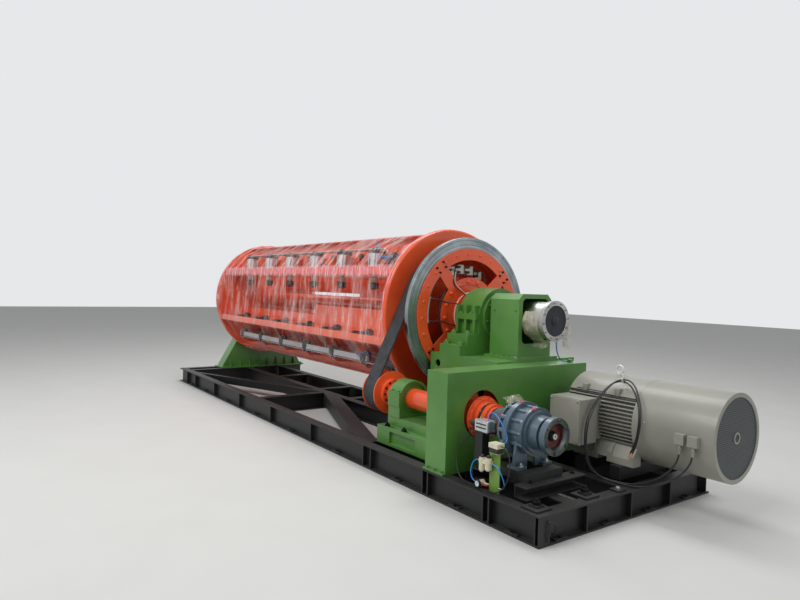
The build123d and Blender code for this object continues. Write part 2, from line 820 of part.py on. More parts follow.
def main_bearing_housing():
    """Split bearing housing with stepped feet, ribs, a split flange and a front cover."""
    end = housing_x + housing_width
    plane = across(housing_x, 0, 0)
    body = Pos(0, axis_height) * Circle(housing_radius)
    drop = axis_height - stand_top
    body += Pos(0, stand_top + drop / 2) * Rectangle(2 * housing_radius, drop)
    body += Pos(0, stand_top + foot_height / 2) * Rectangle(2 * foot_half_width, foot_height)
    body += Pos(0, stand_top + step_height / 2) * Rectangle(2 * step_half_width, step_height)
    housing = extrude(plane * body, amount=housing_width)
    half = housing_rib_half_width
    for offset in housing_rib_offsets:
        x = housing_x + offset
        housing += block(x, x + housing_rib_thickness, -half, half,
                         stand_top + step_height, axis_height + housing_rib_rise)
    housing += block(housing_x, end, -half, half,
                     axis_height - housing_split_height / 2, axis_height + housing_split_height / 2)
    housing -= pipe(housing_x, end, bearing_journal_radius + bearing_clearance)
    return housing + pipe(end, end + housing_cover_thickness, housing_cover_radius,
                          slip_shaft_radius + slip_shaft_clearance)


def slip_ring_box():
    """Hollow box over the shaft end, on a plate, with sloping top edges and a rounded opening."""
    x0 = ring_box_x
    x1 = x0 + ring_box_length
    wall = ring_box_wall
    floor = stand_top + ring_plate_thickness

    def outline(inset):
        half = ring_box_half_width - inset
        low = floor + inset
        high = ring_box_top - inset
        cut = ring_box_chamfer
        return make_face(Polyline((-half, low), (half, low), (half, high - cut), (half - cut, high),
                                  (-half + cut, high), (-half, high - cut), close=True))

    box = extrude(across(x0) * outline(0), amount=x1 - x0)
    box -= extrude(across(x0 + wall) * outline(wall), amount=x1 - x0 - 2 * wall)
    middle = axis_height + (ring_hole_rise - ring_hole_drop) / 2
    opening = RectangleRounded(2 * ring_hole_half_width, ring_hole_rise + ring_hole_drop, ring_hole_corner)
    box -= extrude(across(x1 - wall, 0, middle) * opening, amount=wall)
    box -= pipe(x0, x0 + wall, slip_shaft_radius + slip_shaft_clearance)
    half = ring_box_half_width + ring_plate_margin
    return box + block(x0 - ring_plate_margin / 2, stand_x + stand_length, -half, half, stand_top, floor)


def slip_ring():
    """Slip ring housing with its rim, sunk face and hose fitting; it stands on the back wall of its box."""
    start = ring_box_x + ring_box_wall
    end = slip_ring_end_x
    rim_x = end - slip_ring_rim_thickness
    ring = turned([(start, slip_ring_radius), (rim_x, slip_ring_radius), (rim_x, slip_ring_rim), (end, slip_ring_rim)])
    ring -= pipe(end - slip_face_depth, end, slip_face_radius)
    ring += pipe(end - slip_face_depth, end - slip_face_depth + slip_boss_height, slip_boss_radius)
    ring -= pipe(start, end - slip_shaft_cover, slip_shaft_radius + slip_shaft_clearance)
    fitting = Plane((end - slip_ring_rim_thickness / 2, slip_fitting_y, slip_fitting_bottom)) * Circle(
        slip_fitting_radius)
    return ring + extrude(fitting, amount=axis_height - slip_ring_rim - slip_fitting_bottom + slip_ring_rim / 4)


def belt_loop(offset):
    """Closed outline round the drum and the drive pulley at one distance from their faces."""
    big = drum_radius + offset
    small = pulley_radius + offset
    dy = shaft_y
    dz = shaft_z - axis_height
    distance = hypot(dy, dz)
    heading = atan2(dz, dy)
    spread = acos((big - small) / distance)

    def on_circle(cy, cz, r, a):
        return (cy + r * cos(a), cz + r * sin(a))

    upper = heading - spread
    lower = heading + spread
    points = [on_circle(0, 0, big, upper), on_circle(dy, dz, small, upper),
              on_circle(dy, dz, small, heading), on_circle(dy, dz, small, lower),
              on_circle(0, 0, big, lower), on_circle(0, 0, big, heading + pi)]
    edges = [Line(points[0], points[1]), ThreePointArc(points[1], points[2], points[3]),
             Line(points[3], points[4]), ThreePointArc(points[4], points[5], points[0])]
    return make_face(Wire(edges))


def drive_belt():
    """Flat belt from the drive pulley round the drum, as one loop."""
    section = belt_loop(belt_clearance + belt_thickness) - belt_loop(belt_clearance)
    return extrude(across(belt_x, 0, axis_height) * section, amount=belt_width)


def drive_pulley():
    """Pulley with a flange at each side of the belt and a clamping hub."""
    start = belt_x - pulley_gap
    end = belt_x + belt_width + pulley_gap
    back = start - pulley_flange_thickness / 2
    front = end + pulley_flange_thickness
    pulley = turned([(back, pulley_flange_radius), (start, pulley_flange_radius), (start, pulley_radius),
                     (end, pulley_radius), (end, pulley_flange_radius), (front, pulley_flange_radius),
                     (front, pulley_hub_radius), (front + pulley_hub_length, pulley_hub_radius)], shaft_y, shaft_z)
    return pulley - pipe(back, front + pulley_hub_length, drive_shaft_radius, 0, shaft_y, shaft_z)


def drive_shaft():
    """Long shaft from the drive pulley through its bearing to the clutch."""
    return pipe(belt_x - pulley_gap, clutch_x, drive_shaft_radius, 0, shaft_y, shaft_z)


def primary_pulley():
    """Large pulley of the first belt stage, inside the guard box, with round holes in its web."""
    x0 = guard_box_x + (guard_box_width - primary_pulley_width) / 2
    x1 = x0 + primary_pulley_width
    web_x = (x0 + x1 - primary_rim) / 2
    inner = primary_pulley_radius - primary_rim
    pulley = pipe(x0, x1, primary_pulley_radius, inner, shaft_y, shaft_z)
    pulley += pipe(web_x, web_x + primary_rim, inner, 0, shaft_y, shaft_z)
    pulley += pipe(x0, x1, primary_hub_radius, 0, shaft_y, shaft_z)
    for i in range(primary_hole_count):
        angle = i * 2 * pi / primary_hole_count
        pulley -= pipe(web_x, web_x + primary_rim, primary_hole_radius, 0,
                       shaft_y + primary_hole_circle * cos(angle), shaft_z + primary_hole_circle * sin(angle))
    return pulley - pipe(x0, x1, drive_shaft_radius, 0, shaft_y, shaft_z)


def stepped(start, profile):
    """Turned piece on the drive shaft line; the profile is (distance from start, radius)."""
    return turned([(start + x, r) for x, r in profile], shaft_y, shaft_z)


def clutch_hub():
    """Stepped clutch half on the end of the drive shaft."""
    return stepped(clutch_x, clutch_profile)


def reducer_coupling():
    """Clutch half on the output shaft of the reducer, with that shaft."""
    start = clutch_x + coupling_start
    end = start + coupling_profile[-1][0]
    shaft = pipe(end, reducer_x + reducer_shaft_depth, reducer_shaft_radius, 0, shaft_y, shaft_z)
    return stepped(start, coupling_profile) + shaft


def reducer():
    """Two stage cycloidal reducer: stepped turned body with two rings of lugs, feet and an open input flange."""
    body = stepped(reducer_x, reducer_profile)
    end = reducer_x + reducer_profile[-1][0]
    body -= pipe(end - input_recess_depth, end, input_recess_radius, 0, shaft_y, shaft_z)
    body += pipe(end - input_recess_depth, end - input_recess_depth + input_shaft_length,
                 input_shaft_radius, 0, shaft_y, shaft_z)
    for start, stop, circle, radius in lug_rings:
        for i in range(lug_count):
            angle = i * 2 * pi / lug_count
            body += pipe(reducer_x + start, reducer_x + stop, radius, 0,
                         shaft_y + circle * cos(angle), shaft_z + circle * sin(angle))
    body -= pipe(reducer_x, reducer_x + reducer_shaft_depth, reducer_shaft_radius + bearing_clearance, 0,
                 shaft_y, shaft_z)
    pad_top = reducer_foot_z + reducer_pad_thickness
    (inner, inner_drop), (outer, outer_drop) = reducer_web_top
    for side in (-1, 1):
        y = shaft_y + side * reducer_foot_pitch / 2
        edge = y + side * reducer_pad_width / 2
        web = make_face(Polyline((shaft_y + side * inner, shaft_z - inner_drop),
                                 (shaft_y + side * outer, shaft_z - outer_drop), (edge, pad_top),
                                 (edge, reducer_foot_z), (shaft_y + side * inner, reducer_foot_z), close=True))
        body += extrude(across(reducer_x + reducer_web_x) * web, amount=reducer_web_thickness)
        body += block(reducer_x + reducer_pad_x[0], reducer_x + reducer_pad_x[1],
                      y - reducer_pad_width / 2, y + reducer_pad_width / 2, reducer_foot_z, pad_top)
    return body


def reducer_stand():
    """Black stand under the reducer: an open frame on two channels that lie across the base."""
    x0, x1, y0, y1 = stand_frame_opening
    frame = block(*stand_frame_x, *stand_frame_y, stand_frame_bottom, reducer_foot_z)
    solids = [frame - block(x0, x1, y0, y1, stand_frame_bottom, reducer_foot_z)]
    wall = cross_rail_wall
    for x0, x1, y0, y1 in cross_rails:
        rail = block(x0, x1, y0, y1, base_height, stand_frame_bottom)
        solids.append(rail - block(x0 + wall, x1, y0, y1, base_height + wall, stand_frame_bottom - wall))
    return solids


def shaft_bearing():
    """Split bearing block of the drive shaft, with a flange at the split and a sunk front face."""
    end = shaft_block_x + shaft_block_width
    drop = shaft_z - base_height - slide_high_height
    section = Circle(shaft_block_radius)
    section += Pos(0, -drop / 2) * Rectangle(2 * shaft_block_radius, drop)
    section += Rectangle(2 * shaft_block_flange_half, shaft_block_flange_height)
    bearing = extrude(across(shaft_block_x, shaft_y, shaft_z) * section, amount=shaft_block_width)
    bearing -= pipe(end - shaft_block_recess, end, shaft_block_recess_radius, 0, shaft_y, shaft_z)
    return bearing - pipe(shaft_block_x, end, drive_shaft_radius + bearing_clearance, 0, shaft_y, shaft_z)


def shaft_slide():
    """Stepped slide base under the drive shaft bearing, with bolt slots and a sunk front panel."""
    end = guard_box_x
    low = base_height + slide_low_height
    slide = block(slide_x, end, slide_front_y, slide_rear_y, base_height, low)
    slide += block(slide_high_x, end, slide_front_y + slide_step, slide_rear_y - slide_step,
                   low, base_height + slide_high_height)
    slot_y = slide_front_y + slide_step / 2
    for start in slide_slot_starts:
        x = slide_high_x + start
        slide -= block(x, x + slide_slot_length, slot_y - slide_slot_width / 2, slot_y + slide_slot_width / 2,
                       low - slide_slot_depth, low)
    start, stop, depth, bottom, top = slide_recess
    return slide - block(slide_x + start, slide_x + stop, slide_front_y, slide_front_y + depth,
                         base_height + bottom, low - top)


def clutch_bracket():
    """Black post with a top plate that carries the shift cylinder."""
    top = actuator_z - actuator_half
    y0 = actuator_y - clutch_post_depth / 2
    y1 = actuator_y + clutch_post_depth / 2
    post = block(clutch_post_x, clutch_post_x + clutch_post_width, y0, y1,
                 reducer_foot_z, top - clutch_plate_thickness)
    plate = block(clutch_post_x - clutch_plate_overhang, actuator_x + actuator_length, y0, y1,
                  top - clutch_plate_thickness, top)
    return post + plate


def clutch_cylinder():
    """Compact shift cylinder with its rod eye."""
    body = block(actuator_x, actuator_x + actuator_length, actuator_y - actuator_half, actuator_y + actuator_half,
                 actuator_z - actuator_half, actuator_z + actuator_half)
    tip = actuator_x - actuator_rod_length
    rod = pipe(tip, actuator_x, actuator_rod_radius, 0, actuator_y, actuator_z)
    return body + rod + pipe(tip - actuator_eye_length / 2, tip + actuator_eye_length / 2,
                             actuator_eye_radius, 0, actuator_y, actuator_z)


def air_unit_post():
    """Sheet post of the air unit."""
    return block(air_post_x, air_post_x + air_post_width, air_post_y, air_post_y + air_post_thickness,
                 base_height, base_height + air_post_height)


def upright(x, y, radius, z0, z1):
    """Round bar that stands upright."""
    return extrude(Plane((x, y, z0)) * Circle(radius), amount=z1 - z0)


def air_unit():
    """Filter and regulator on the post, the valve on its top, and the gauge at its foot."""
    x0, x1, z0, z1 = filter_bridge
    filters = block(x0, x1, filter_y - gauge_pipe_radius * 2, air_post_y, z0, z1)
    for x, radius, bottom, top in filter_places:
        filters += upright(x, filter_y, radius, bottom, top)
    post_top = base_height + air_post_height
    x0, x1, y0, y1, height = valve_neck
    valve = block(x0, x1, y0, y1, post_top, post_top + height)
    box_bottom = post_top + height
    x0, x1, y0, y1, height = valve_box
    valve += block(x0, x1, y0, y1, box_bottom, box_bottom + height)
    y = air_post_y + air_post_thickness / 2
    gauge = pipe(gauge_x, air_post_x, gauge_pipe_radius, 0, y, gauge_z)
    face = Plane((gauge_x, y + gauge_pipe_radius, gauge_z), x_dir=(1, 0, 0), z_dir=(0, -1, 0)) * Circle(gauge_radius)
    return [filters, valve, gauge + extrude(face, amount=gauge_thickness + 2 * gauge_pipe_radius)]


def motor_frame():
    """Motor body: end shield, side fins, smooth saddle on top, skirts and feet, and the pad of its box."""
    plane = across(motor_frame_x, motor_y, motor_z)
    length = motor_frame_end - motor_frame_x
    body = extrude(plane * Circle(motor_frame_radius), amount=length)
    first = motor_fin_low + motor_fin_thickness / 2 - motor_z
    fins = Sketch() + [Pos(0, first + i * motor_fin_pitch) * Rectangle(2 * motor_fin_radius, motor_fin_thickness)
                       for i in range(motor_fin_count)]
    body += extrude(plane * (Circle(motor_fin_radius) & fins), amount=length)
    a = radians(saddle_half_angle)
    reach = saddle_radius / cos(a / 2)
    wedge = make_face(Polyline((0, 0), (reach * sin(a), reach * cos(a)), (reach * sin(a / 2), reach * cos(a / 2)),
                               (-reach * sin(a / 2), reach * cos(a / 2)), (-reach * sin(a), reach * cos(a)),
                               close=True))
    body += extrude(plane * (Circle(saddle_radius) & wedge), amount=length)
    body += turned([(motor_frame_x + x, r) for x, r in motor_nose], motor_y, motor_z)
    collar_x = motor_cowl_x - motor_collar_length
    spigot = cowl_radius - cowl_wall - cowl_fit
    body += turned([(collar_x, cowl_radius), (motor_cowl_x, cowl_radius), (motor_cowl_x, spigot),
                    (motor_cowl_x + cowl_spigot, spigot)], motor_y, motor_z)
    x0, x1, y0, y1, z0, z1 = terminal_box
    inset = terminal_neck_inset
    body += block(x0 + inset, x1 - inset, y1, y1 + terminal_neck_depth, z0 + inset, z1 - inset)
    foot_z = base_height + rail_height
    x0, x1, thickness = foot_skirt
    skirt_y, skirt_z = foot_skirt_top
    for side in (-1, 1):
        y = motor_y + side * foot_spread
        edge = y + side * foot_width / 2
        near = y - side * foot_width / 2
        skirt = make_face(Polyline((motor_y + side * skirt_y, skirt_z), (edge, foot_z + foot_rib_edge),
                                   (edge, foot_z), (near, foot_z), (near, skirt_z), close=True))
        wall = edge - side * foot_wall_thickness
        for x in rail_xs:
            left = x - foot_length / 2
            right = x + foot_length / 2
            for start in (left, right - foot_rib_thickness):
                body += extrude(across(start) * skirt, amount=foot_rib_thickness)
            body += block(left, right, y - foot_width / 2, y + foot_width / 2, foot_z, foot_z + foot_thickness)
            body += block(left, right, min(wall, edge), max(wall, edge), foot_z, foot_z + foot_wall_height)
        web = make_face(Polyline((motor_y + side * skirt_y, skirt_z), (edge, foot_skirt_bottom),
                                 (edge - side * thickness, foot_skirt_bottom),
                                 (motor_y + side * (skirt_y - thickness), skirt_z), close=True))
        body += extrude(across(x0) * web, amount=x1 - x0)
    return body


def motor_cowl():
    """Fan cowl, a tube with an inward lip round the grille."""
    tube = pipe(motor_cowl_x, motor_end_x, cowl_radius, cowl_radius - cowl_wall, motor_y, motor_z)
    return tube + pipe(motor_end_x - cowl_lip_thickness, motor_end_x, cowl_radius, cowl_lip_radius, motor_y, motor_z)


def motor_grille():
    """Fan grille with a ring in its middle, seated behind the lip of the cowl."""
    x1 = motor_end_x - cowl_lip_thickness
    disc = pipe(x1 - grille_thickness, x1, cowl_radius - cowl_wall - cowl_fit, 0, motor_y, motor_z)
    outer, inner, height = grille_ring
    return disc + pipe(x1, x1 + height, outer, inner, motor_y, motor_z)


def motor_terminal_box():
    box = block(*terminal_box)
    return fillet(box.edges().filter_by(Axis.Y), terminal_corner)


def motor_rails():
    """Two slide rails across the base under the motor."""
    return [block(x - rail_width / 2, x + rail_width / 2, rail_front_y, rail_rear_y,
                  base_height, base_height + rail_height) for x in rail_xs]


def motor_sensor_boxes():
    """Two small boxes on the front of the cowl, each with a cable gland below."""
    solids = []
    low, high = sensor_box_z
    front = motor_y - cowl_radius - sensor_box_proud
    for x in sensor_box_xs:
        box = block(x, x + sensor_box_length, front, front + sensor_box_proud + sensor_box_depth, low, high)
        box -= pipe(x, x + sensor_box_length, cowl_radius, 0, motor_y, motor_z)
        solids.append(box + upright(x + sensor_box_length / 2, gland_y, gland_radius, low - gland_length, low))
    return solids


def base_clamp_plates():
    """Clamp plates with their blocks on the drive end of the base."""
    solids = []
    size = clamp_plate_size
    top = base_height + clamp_plate_thickness
    inset = (size - clamp_block_size) / 2
    for x, y in clamp_plate_places:
        plate = block(x, x + size, y, y + size, base_height, top)
        solids.append(plate + block(x + inset, x + size - inset, y + inset, y + size - inset,
                                    top, top + clamp_block_height))
    return solids


def cord(diameter, points):
    """Round cord along straight runs joined by arcs as large as the runs allow."""
    points = [Vector(*p) for p in points]
    radii = []
    for before, at, after in zip(points, points[1:], points[2:]):
        turn = radians((at - before).get_angle(after - at))
        radii.append(0.45 * min((at - before).length, (after - at).length) / tan(turn / 2))
    path = FilletPolyline(*points, radius=radii)
    section = Plane(points[0], z_dir=points[1] - points[0]) * Circle(diameter / 2)
    tube = sweep(section, path=path)
    print("radii", [round(r) for r in radii], "length", round(path.length),
          "volume over section times length", round(tube.volume / (pi * diameter ** 2 / 4 * path.length), 4))
    return tube


pieces = {
    "base_side_beams": [base_front_beam(), base_rear_beam()],
    "base_main_beams": base_main_beams(),
    "base_cross_beams": base_end_beams() + base_cross_members(),
    "base_diagonals": base_diagonals(),
    "base_clamp_plates": base_clamp_plates(),
    "tail_pedestal": tail_pedestal(),
    "tail_bearing": tail_bearing(),
    "headstock_stand": headstock_stand(),
    "belt_guard_box": belt_guard_box(),
    "main_bearing_housing": main_bearing_housing(),
    "slip_ring_box": slip_ring_box(),
    "slip_ring": slip_ring(),
    "drive_belt": drive_belt(),
    "shaft_bearing": shaft_bearing(),
    "shaft_slide": shaft_slide(),
    "reducer": reducer(),
    "reducer_stand": reducer_stand(),
    "clutch_bracket": clutch_bracket(),
    "clutch_cylinder": clutch_cylinder(),
    "air_unit_post": air_unit_post(),
    "air_unit": air_unit(),
    "motor_frame": motor_frame(),
    "motor_cowl": motor_cowl(),
    "motor_grille": motor_grille(),
    "motor_terminal_box": motor_terminal_box(),
    "motor_sensor_boxes": motor_sensor_boxes(),
    "motor_rails": motor_rails(),
    "cage_discs": [tail_disc(), drive_disc()],
    "cage_beams": [cage_beam(k) for k in range(bays)],
    "belt_drum": belt_drum(),
    "brake_ring": brake_ring(),
    "end_plate": end_plate(),
    "main_shaft": main_shaft(),
    "clamp_cylinders": clamp_cylinders(),
    "cylinder_tie_bars": cylinder_tie_bars(),
    "fixed_pintles": fixed_pintles(),
    "guard_panels": guard_panels(),
    "control_modules": control_modules(),
    "drive_shaft": drive_shaft(),
    "drive_pulley": drive_pulley(),
    "primary_pulley": primary_pulley(),
    "clutch_hub": clutch_hub(),
    "reducer_coupling": reducer_coupling(),
    "motor_cable_1": cord(*motor_cable_1),
    "motor_cable_2": cord(*motor_cable_2),
    "slip_ring_hose": cord(*slip_ring_hose),
    "air_hose_1": cord(*air_hose_1),
    "air_hose_2": cord(*air_hose_2),
    "air_hose_3": cord(*air_hose_3),
    "clutch_cable": cord(*clutch_cable),
}
for k in range(bays):
    pieces["clamp_pintles_" + str(k + 1)] = clamp_pintles(k)

os.makedirs("parts", exist_ok=True)
for name, solids in pieces.items():
    shape = Compound(children=solids) if isinstance(solids, list) else solids
    export_step(shape, "parts/" + name + ".step")
print(len(pieces), "nodes")
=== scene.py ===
import json
from functools import partial

import bmesh
import bpy
import numpy as np
from mathutils import Matrix


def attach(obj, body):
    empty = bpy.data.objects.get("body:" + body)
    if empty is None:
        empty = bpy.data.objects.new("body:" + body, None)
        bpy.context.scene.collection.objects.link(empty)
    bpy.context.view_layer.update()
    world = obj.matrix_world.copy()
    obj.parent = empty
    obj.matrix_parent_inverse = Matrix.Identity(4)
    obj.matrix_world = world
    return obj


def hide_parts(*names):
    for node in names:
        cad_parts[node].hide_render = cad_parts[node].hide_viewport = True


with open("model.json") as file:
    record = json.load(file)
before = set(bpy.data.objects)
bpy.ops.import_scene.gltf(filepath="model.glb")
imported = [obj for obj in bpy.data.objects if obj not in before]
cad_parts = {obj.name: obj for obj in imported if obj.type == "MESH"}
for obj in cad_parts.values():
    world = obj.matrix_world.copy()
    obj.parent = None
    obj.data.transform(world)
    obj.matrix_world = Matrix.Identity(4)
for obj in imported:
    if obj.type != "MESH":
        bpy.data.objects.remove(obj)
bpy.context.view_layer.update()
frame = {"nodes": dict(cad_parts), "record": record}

print("frame loaded,", len(frame["nodes"]), "nodes")

mm = 0.001  # all sizes below are in millimetres, as in the part's source
cageHeight = 1335
shaftLine = {"y": -891, "z": 604}
motorLine = {"y": 170, "z": 615}
alongX, towardsAisle = (1, 0, 0), (0, -1, 0)

camera = {
    "place": (7.276, -4.224, 1.6),
    "right": (0.5851, 0.8105, 0.0283),
    "up": (-0.0348, -0.0097, 0.9993),
    "forward": (-0.8102, 0.5857, -0.0225),
    "lens": 27.84,
}


def turnedMatrix(right, up, back, place):
    # a placement whose columns are the object's own three axes and its place
    turn = np.eye(4)
    turn[:3] = np.array([right, up, back, place]).T
    return Matrix(turn.tolist())


cameraData = bpy.data.cameras.new("camera")
cameraData.lens = camera["lens"]
cameraData.sensor_width = 36
cameraData.clip_end = 200
cameraObject = bpy.data.objects.new("camera", cameraData)
bpy.context.scene.collection.objects.link(cameraObject)
cameraObject.matrix_world = turnedMatrix(camera["right"], camera["up"], -np.array(camera["forward"]), camera["place"])
bpy.context.scene.camera = cameraObject
print("camera set")


def linearColour(hexText):
    # sRGB hex to the linear values that a shader reads: a straight foot, then a power of 2.4
    value = np.array([int(hexText[i:i + 2], 16) for i in (1, 3, 5)]) / 255
    linear = np.where(value <= 0.04045, value / 12.92, ((value + 0.055) / 1.055) ** 2.4)
    return (*linear.tolist(), 1.0)


def addNode(tree, kind, settings=None, links=None):
    # one node; settings go to its inputs by name or number, or else to its own properties;
    # a link comes from a socket, or from a node's first output
    node = tree.nodes.new("ShaderNode" + kind)
    for key, value in (settings or {}).items():
        if isinstance(key, int) or key in node.inputs:
            node.inputs[key].default_value = value
        else:
            setattr(node, key, value)
    for key, source in (links or {}).items():
        tree.links.new(getattr(source, "outputs", (source,))[0], node.inputs[key])
    return node


def startMaterial(name):
    # an empty material, addNode for its tree, and the object's own coordinates
    material = bpy.data.materials.new(name)
    material.use_nodes = True
    material.node_tree.nodes.clear()
    add = partial(addNode, material.node_tree)
    return material, add, add("TexCoord").outputs["Object"]


def endMaterial(material, settings, links):
    # a principled shader with its constants on its own sockets
    shader = addNode(material.node_tree, "BsdfPrincipled", settings, links)
    addNode(material.node_tree, "OutputMaterial", None, {"Surface": shader})
    return material


def twoTones(add, share, first, second, rough, step):
    # a colour between two tones, and a roughness that rises by the step with the same share
    tone = add("Mix", {"data_type": "RGBA", 6: linearColour(first), 7: linearColour(second)}, {0: share})
    matt = add("Math", {"operation": "MULTIPLY_ADD", 1: step, 2: rough}, {0: share})
    return {"Base Color": tone.outputs[2], "Roughness": matt}


# alkyd machine enamel, sprayed over primed steel: a wet gloss with fine orange peel,
# a little dust where it lies flat, and a lighter tint of the paint on the edges, partly rubbed paint and partly a
# painted edge highlight
enamelKeys = ("colour", "shade", "edge", "dust", "rough", "peel", "edgeWearAndHighlight", "dustShare", "cast", "coat")
enamels = {
    "orangeEnamel": ("#F05F2E", "#DF4E22", "#F58A5E", "#9B6A58", 0.24, 9, 0.3, 0.0, 0.0, 0.25),
    "greenEnamel": ("#558A3B", "#477A31", "#8DB672", "#8F9A80", 0.3, 10, 0.45, 0.25, 0.0, 0.2),
    "greenCasting": ("#558A3B", "#467830", "#8DB672", "#8F9A80", 0.34, 7, 0.5, 0.25, 0.6, 0.2),
    "blackEnamel": ("#0C0D0F", "#08090A", "#55524E", "#403D39", 0.5, 12, 0.6, 0.35, 0.0, 0.04),
    "motorEnamel": ("#96958B", "#87867D", "#BDBBB1", "#7F7C72", 0.38, 6, 0.3, 0.2, 0.35, 0.15),
    "reducerEnamel": ("#4F6472", "#394A55", "#93A2AB", "#8A8D8C", 0.3, 6, 0.55, 0.25, 0.5, 0.35),
    "redPrimer": ("#6B2B26", "#521F1B", "#A85A4E", "#7A4A42", 0.55, 5, 0.3, 0.1, 0.4, 0.0),
    "whiteGloss": ("#DCDDDC", "#C6C8C8", "#EDEDEB", "#B5B3AC", 0.3, 6, 0.3, 0.1, 0.1, 0.3),
    "postEnamel": ("#6E9636", "#5F862C", "#A9C46E", "#9AA07C", 0.32, 8, 0.4, 0.2, 0.0, 0.2),
    "greyPrimer": ("#B4B7B8", "#9EA1A3", "#D0D2D2", "#8A857D", 0.5, 6, 0.4, 0.0, 0.0, 0.0),
}


def sprayedEnamel(name, row):
    # tone drifts over 0.5 m, peel over a few mm, and a lighter edge tint where the bevelled normal leaves the face's
    # own: worn paint and painted edge highlight
    look = dict(zip(enamelKeys, row))
    material, add, place = startMaterial(name)
    drift = add("TexNoise", {"Scale": 2.1, "Detail": 3}, {"Vector": place})
    driftShare = add("MapRange", {1: 0.35, 2: 0.68}, {0: drift})
    tone = add("Mix", {"data_type": "RGBA", 6: linearColour(look["colour"]), 7: linearColour(look["shade"])},
               {0: driftShare})
    soft = add("Bevel", {"samples": 4, "Radius": 3.5 * mm})
    face = add("NewGeometry").outputs["Normal"]
    bend = add("VectorMath", {"operation": "DOT_PRODUCT"}, {0: soft, 1: face})
    edge = add("MapRange", {1: 0.985, 2: 0.86}, {0: bend.outputs["Value"]})
    chips = add("TexNoise", {"Scale": 24, "Detail": 5, "Roughness": 0.7}, {"Vector": place})
    chipShare = add("MapRange", {1: 0.46, 2: 0.6, 4: look["edgeWearAndHighlight"]}, {0: chips})
    wornAndHighlit = add("Math", {"operation": "MULTIPLY"}, {0: edge, 1: chipShare})
    # the edge colour is a lighter tint of the paint: partly worn paint, partly a painted highlight along the edges
    rubbedAndHighlit = add("Mix", {"data_type": "RGBA", 7: linearColour(look["edge"])}, {0: wornAndHighlit, 6: tone.outputs[2]})
    upward = add("SeparateXYZ", None, {0: face})
    flat = add("MapRange", {1: 0.6, 2: 0.98, 4: look["dustShare"]}, {0: upward.outputs[2]})
    specks = add("TexNoise", {"Scale": 13, "Detail": 8, "Roughness": 0.75}, {"Vector": place})
    speckShare = add("MapRange", {1: 0.38, 2: 0.7, 3: 0.25}, {0: specks})
    dusty = add("Math", {"operation": "MULTIPLY"}, {0: flat, 1: speckShare})
    final = add("Mix", {"data_type": "RGBA", 7: linearColour(look["dust"])}, {0: dusty, 6: rubbedAndHighlit.outputs[2]})
    matt = add("Math", {"operation": "MULTIPLY_ADD", 1: 0.45, 2: look["rough"]}, {0: dusty})
    peel = add("TexNoise", {"Scale": 1000 / look["peel"], "Detail": 1}, {"Vector": place})
    waves = add("TexNoise", {"Scale": 5, "Detail": 2}, {"Vector": place})
    rounded = add("Bump", {"Strength": 0.12, "Distance": 12 * mm}, {"Height": waves, "Normal": soft})
    skin = add("Bump", {"Strength": 0.06 + 0.3 * look["cast"], "Distance": 0.8 * mm},
               {"Height": peel, "Normal": rounded})
    return endMaterial(material, {"IOR": 1.52, "Coat Weight": look["coat"], "Coat Roughness": 0.08},
                       {"Base Color": final.outputs[2], "Roughness": matt, "Normal": skin})


# bare and plated metals, and moulded and extruded polymers: two tones, roughness, grain in mm and bump
grainedKeys = ("colour", "dark", "rough", "grain", "bump")
metals = {
    "zincPlate": ("#B9BBBD", "#85888C", 0.32, 6, 0.15),
    "blackOxide": ("#2C2D30", "#191A1C", 0.42, 5, 0.2),
    "forgedSteel": ("#66676B", "#37383B", 0.4, 9, 0.3),
    "anodisedAluminium": ("#DDDFE1", "#C3C5C8", 0.3, 3, 0.08),
    "machinedIron": ("#6A726E", "#4C5451", 0.3, 3, 0.12),
    "chromedRod": ("#D5D7DA", "#BFC1C4", 0.1, 8, 0.02),
    "nickelledBrass": ("#C9C2AE", "#A39B85", 0.25, 5, 0.05),
}
polymers = {
    "pvcSheathBlack": ("#1B1C1E", "#101113", 0.38, 4, 0.1),
    "polyurethaneBlue": ("#2A8FE0", "#1C74C4", 0.16, 20, 0.02),
    "nylonTeal": ("#1F6D9E", "#175680", 0.2, 20, 0.02),
    "mouldedCream": ("#D8D3B8", "#C2BD9F", 0.34, 3, 0.08),
    "glassFilledBlack": ("#232427", "#17181A", 0.46, 2, 0.25),
    "mouldedGrey": ("#B8BABA", "#9C9E9F", 0.42, 3, 0.1),
    "sealedBlue": ("#131A28", "#0C111B", 0.5, 4, 0.12),
    "pinkCap": ("#E2406B", "#BC2E56", 0.4, 4, 0.05),
    "dialWhite": ("#DDE8F2", "#C4D4E4", 0.12, 8, 0.02),
    "redRubber": ("#B83A30", "#8F2A24", 0.5, 5, 0.15),
    "wovenBelt": ("#303236", "#232528", 0.62, 4, 0.35),
    "orangeSleeve": ("#E07A2C", "#C86520", 0.4, 4, 0.1),
    "whiteTape": ("#DEDDD6", "#B9B6AA", 0.55, 14, 0.5),
    "nylonGear": ("#E9E7DF", "#D6D3C8", 0.4, 4, 0.05),
}
metalKind = {"shader": {"Metallic": 1.0}, "drift": {"Scale": 16, "Detail": 5, "Roughness": 0.65},
             "range": {1: 0.36, 2: 0.66}, "step": 0.15, "edge": 1.5}
polymerKind = {"shader": {"IOR": 1.5}, "drift": {"Scale": 12, "Detail": 5, "Roughness": 0.6},
               "range": {1: 0.38, 2: 0.66}, "step": 0.14, "edge": None}


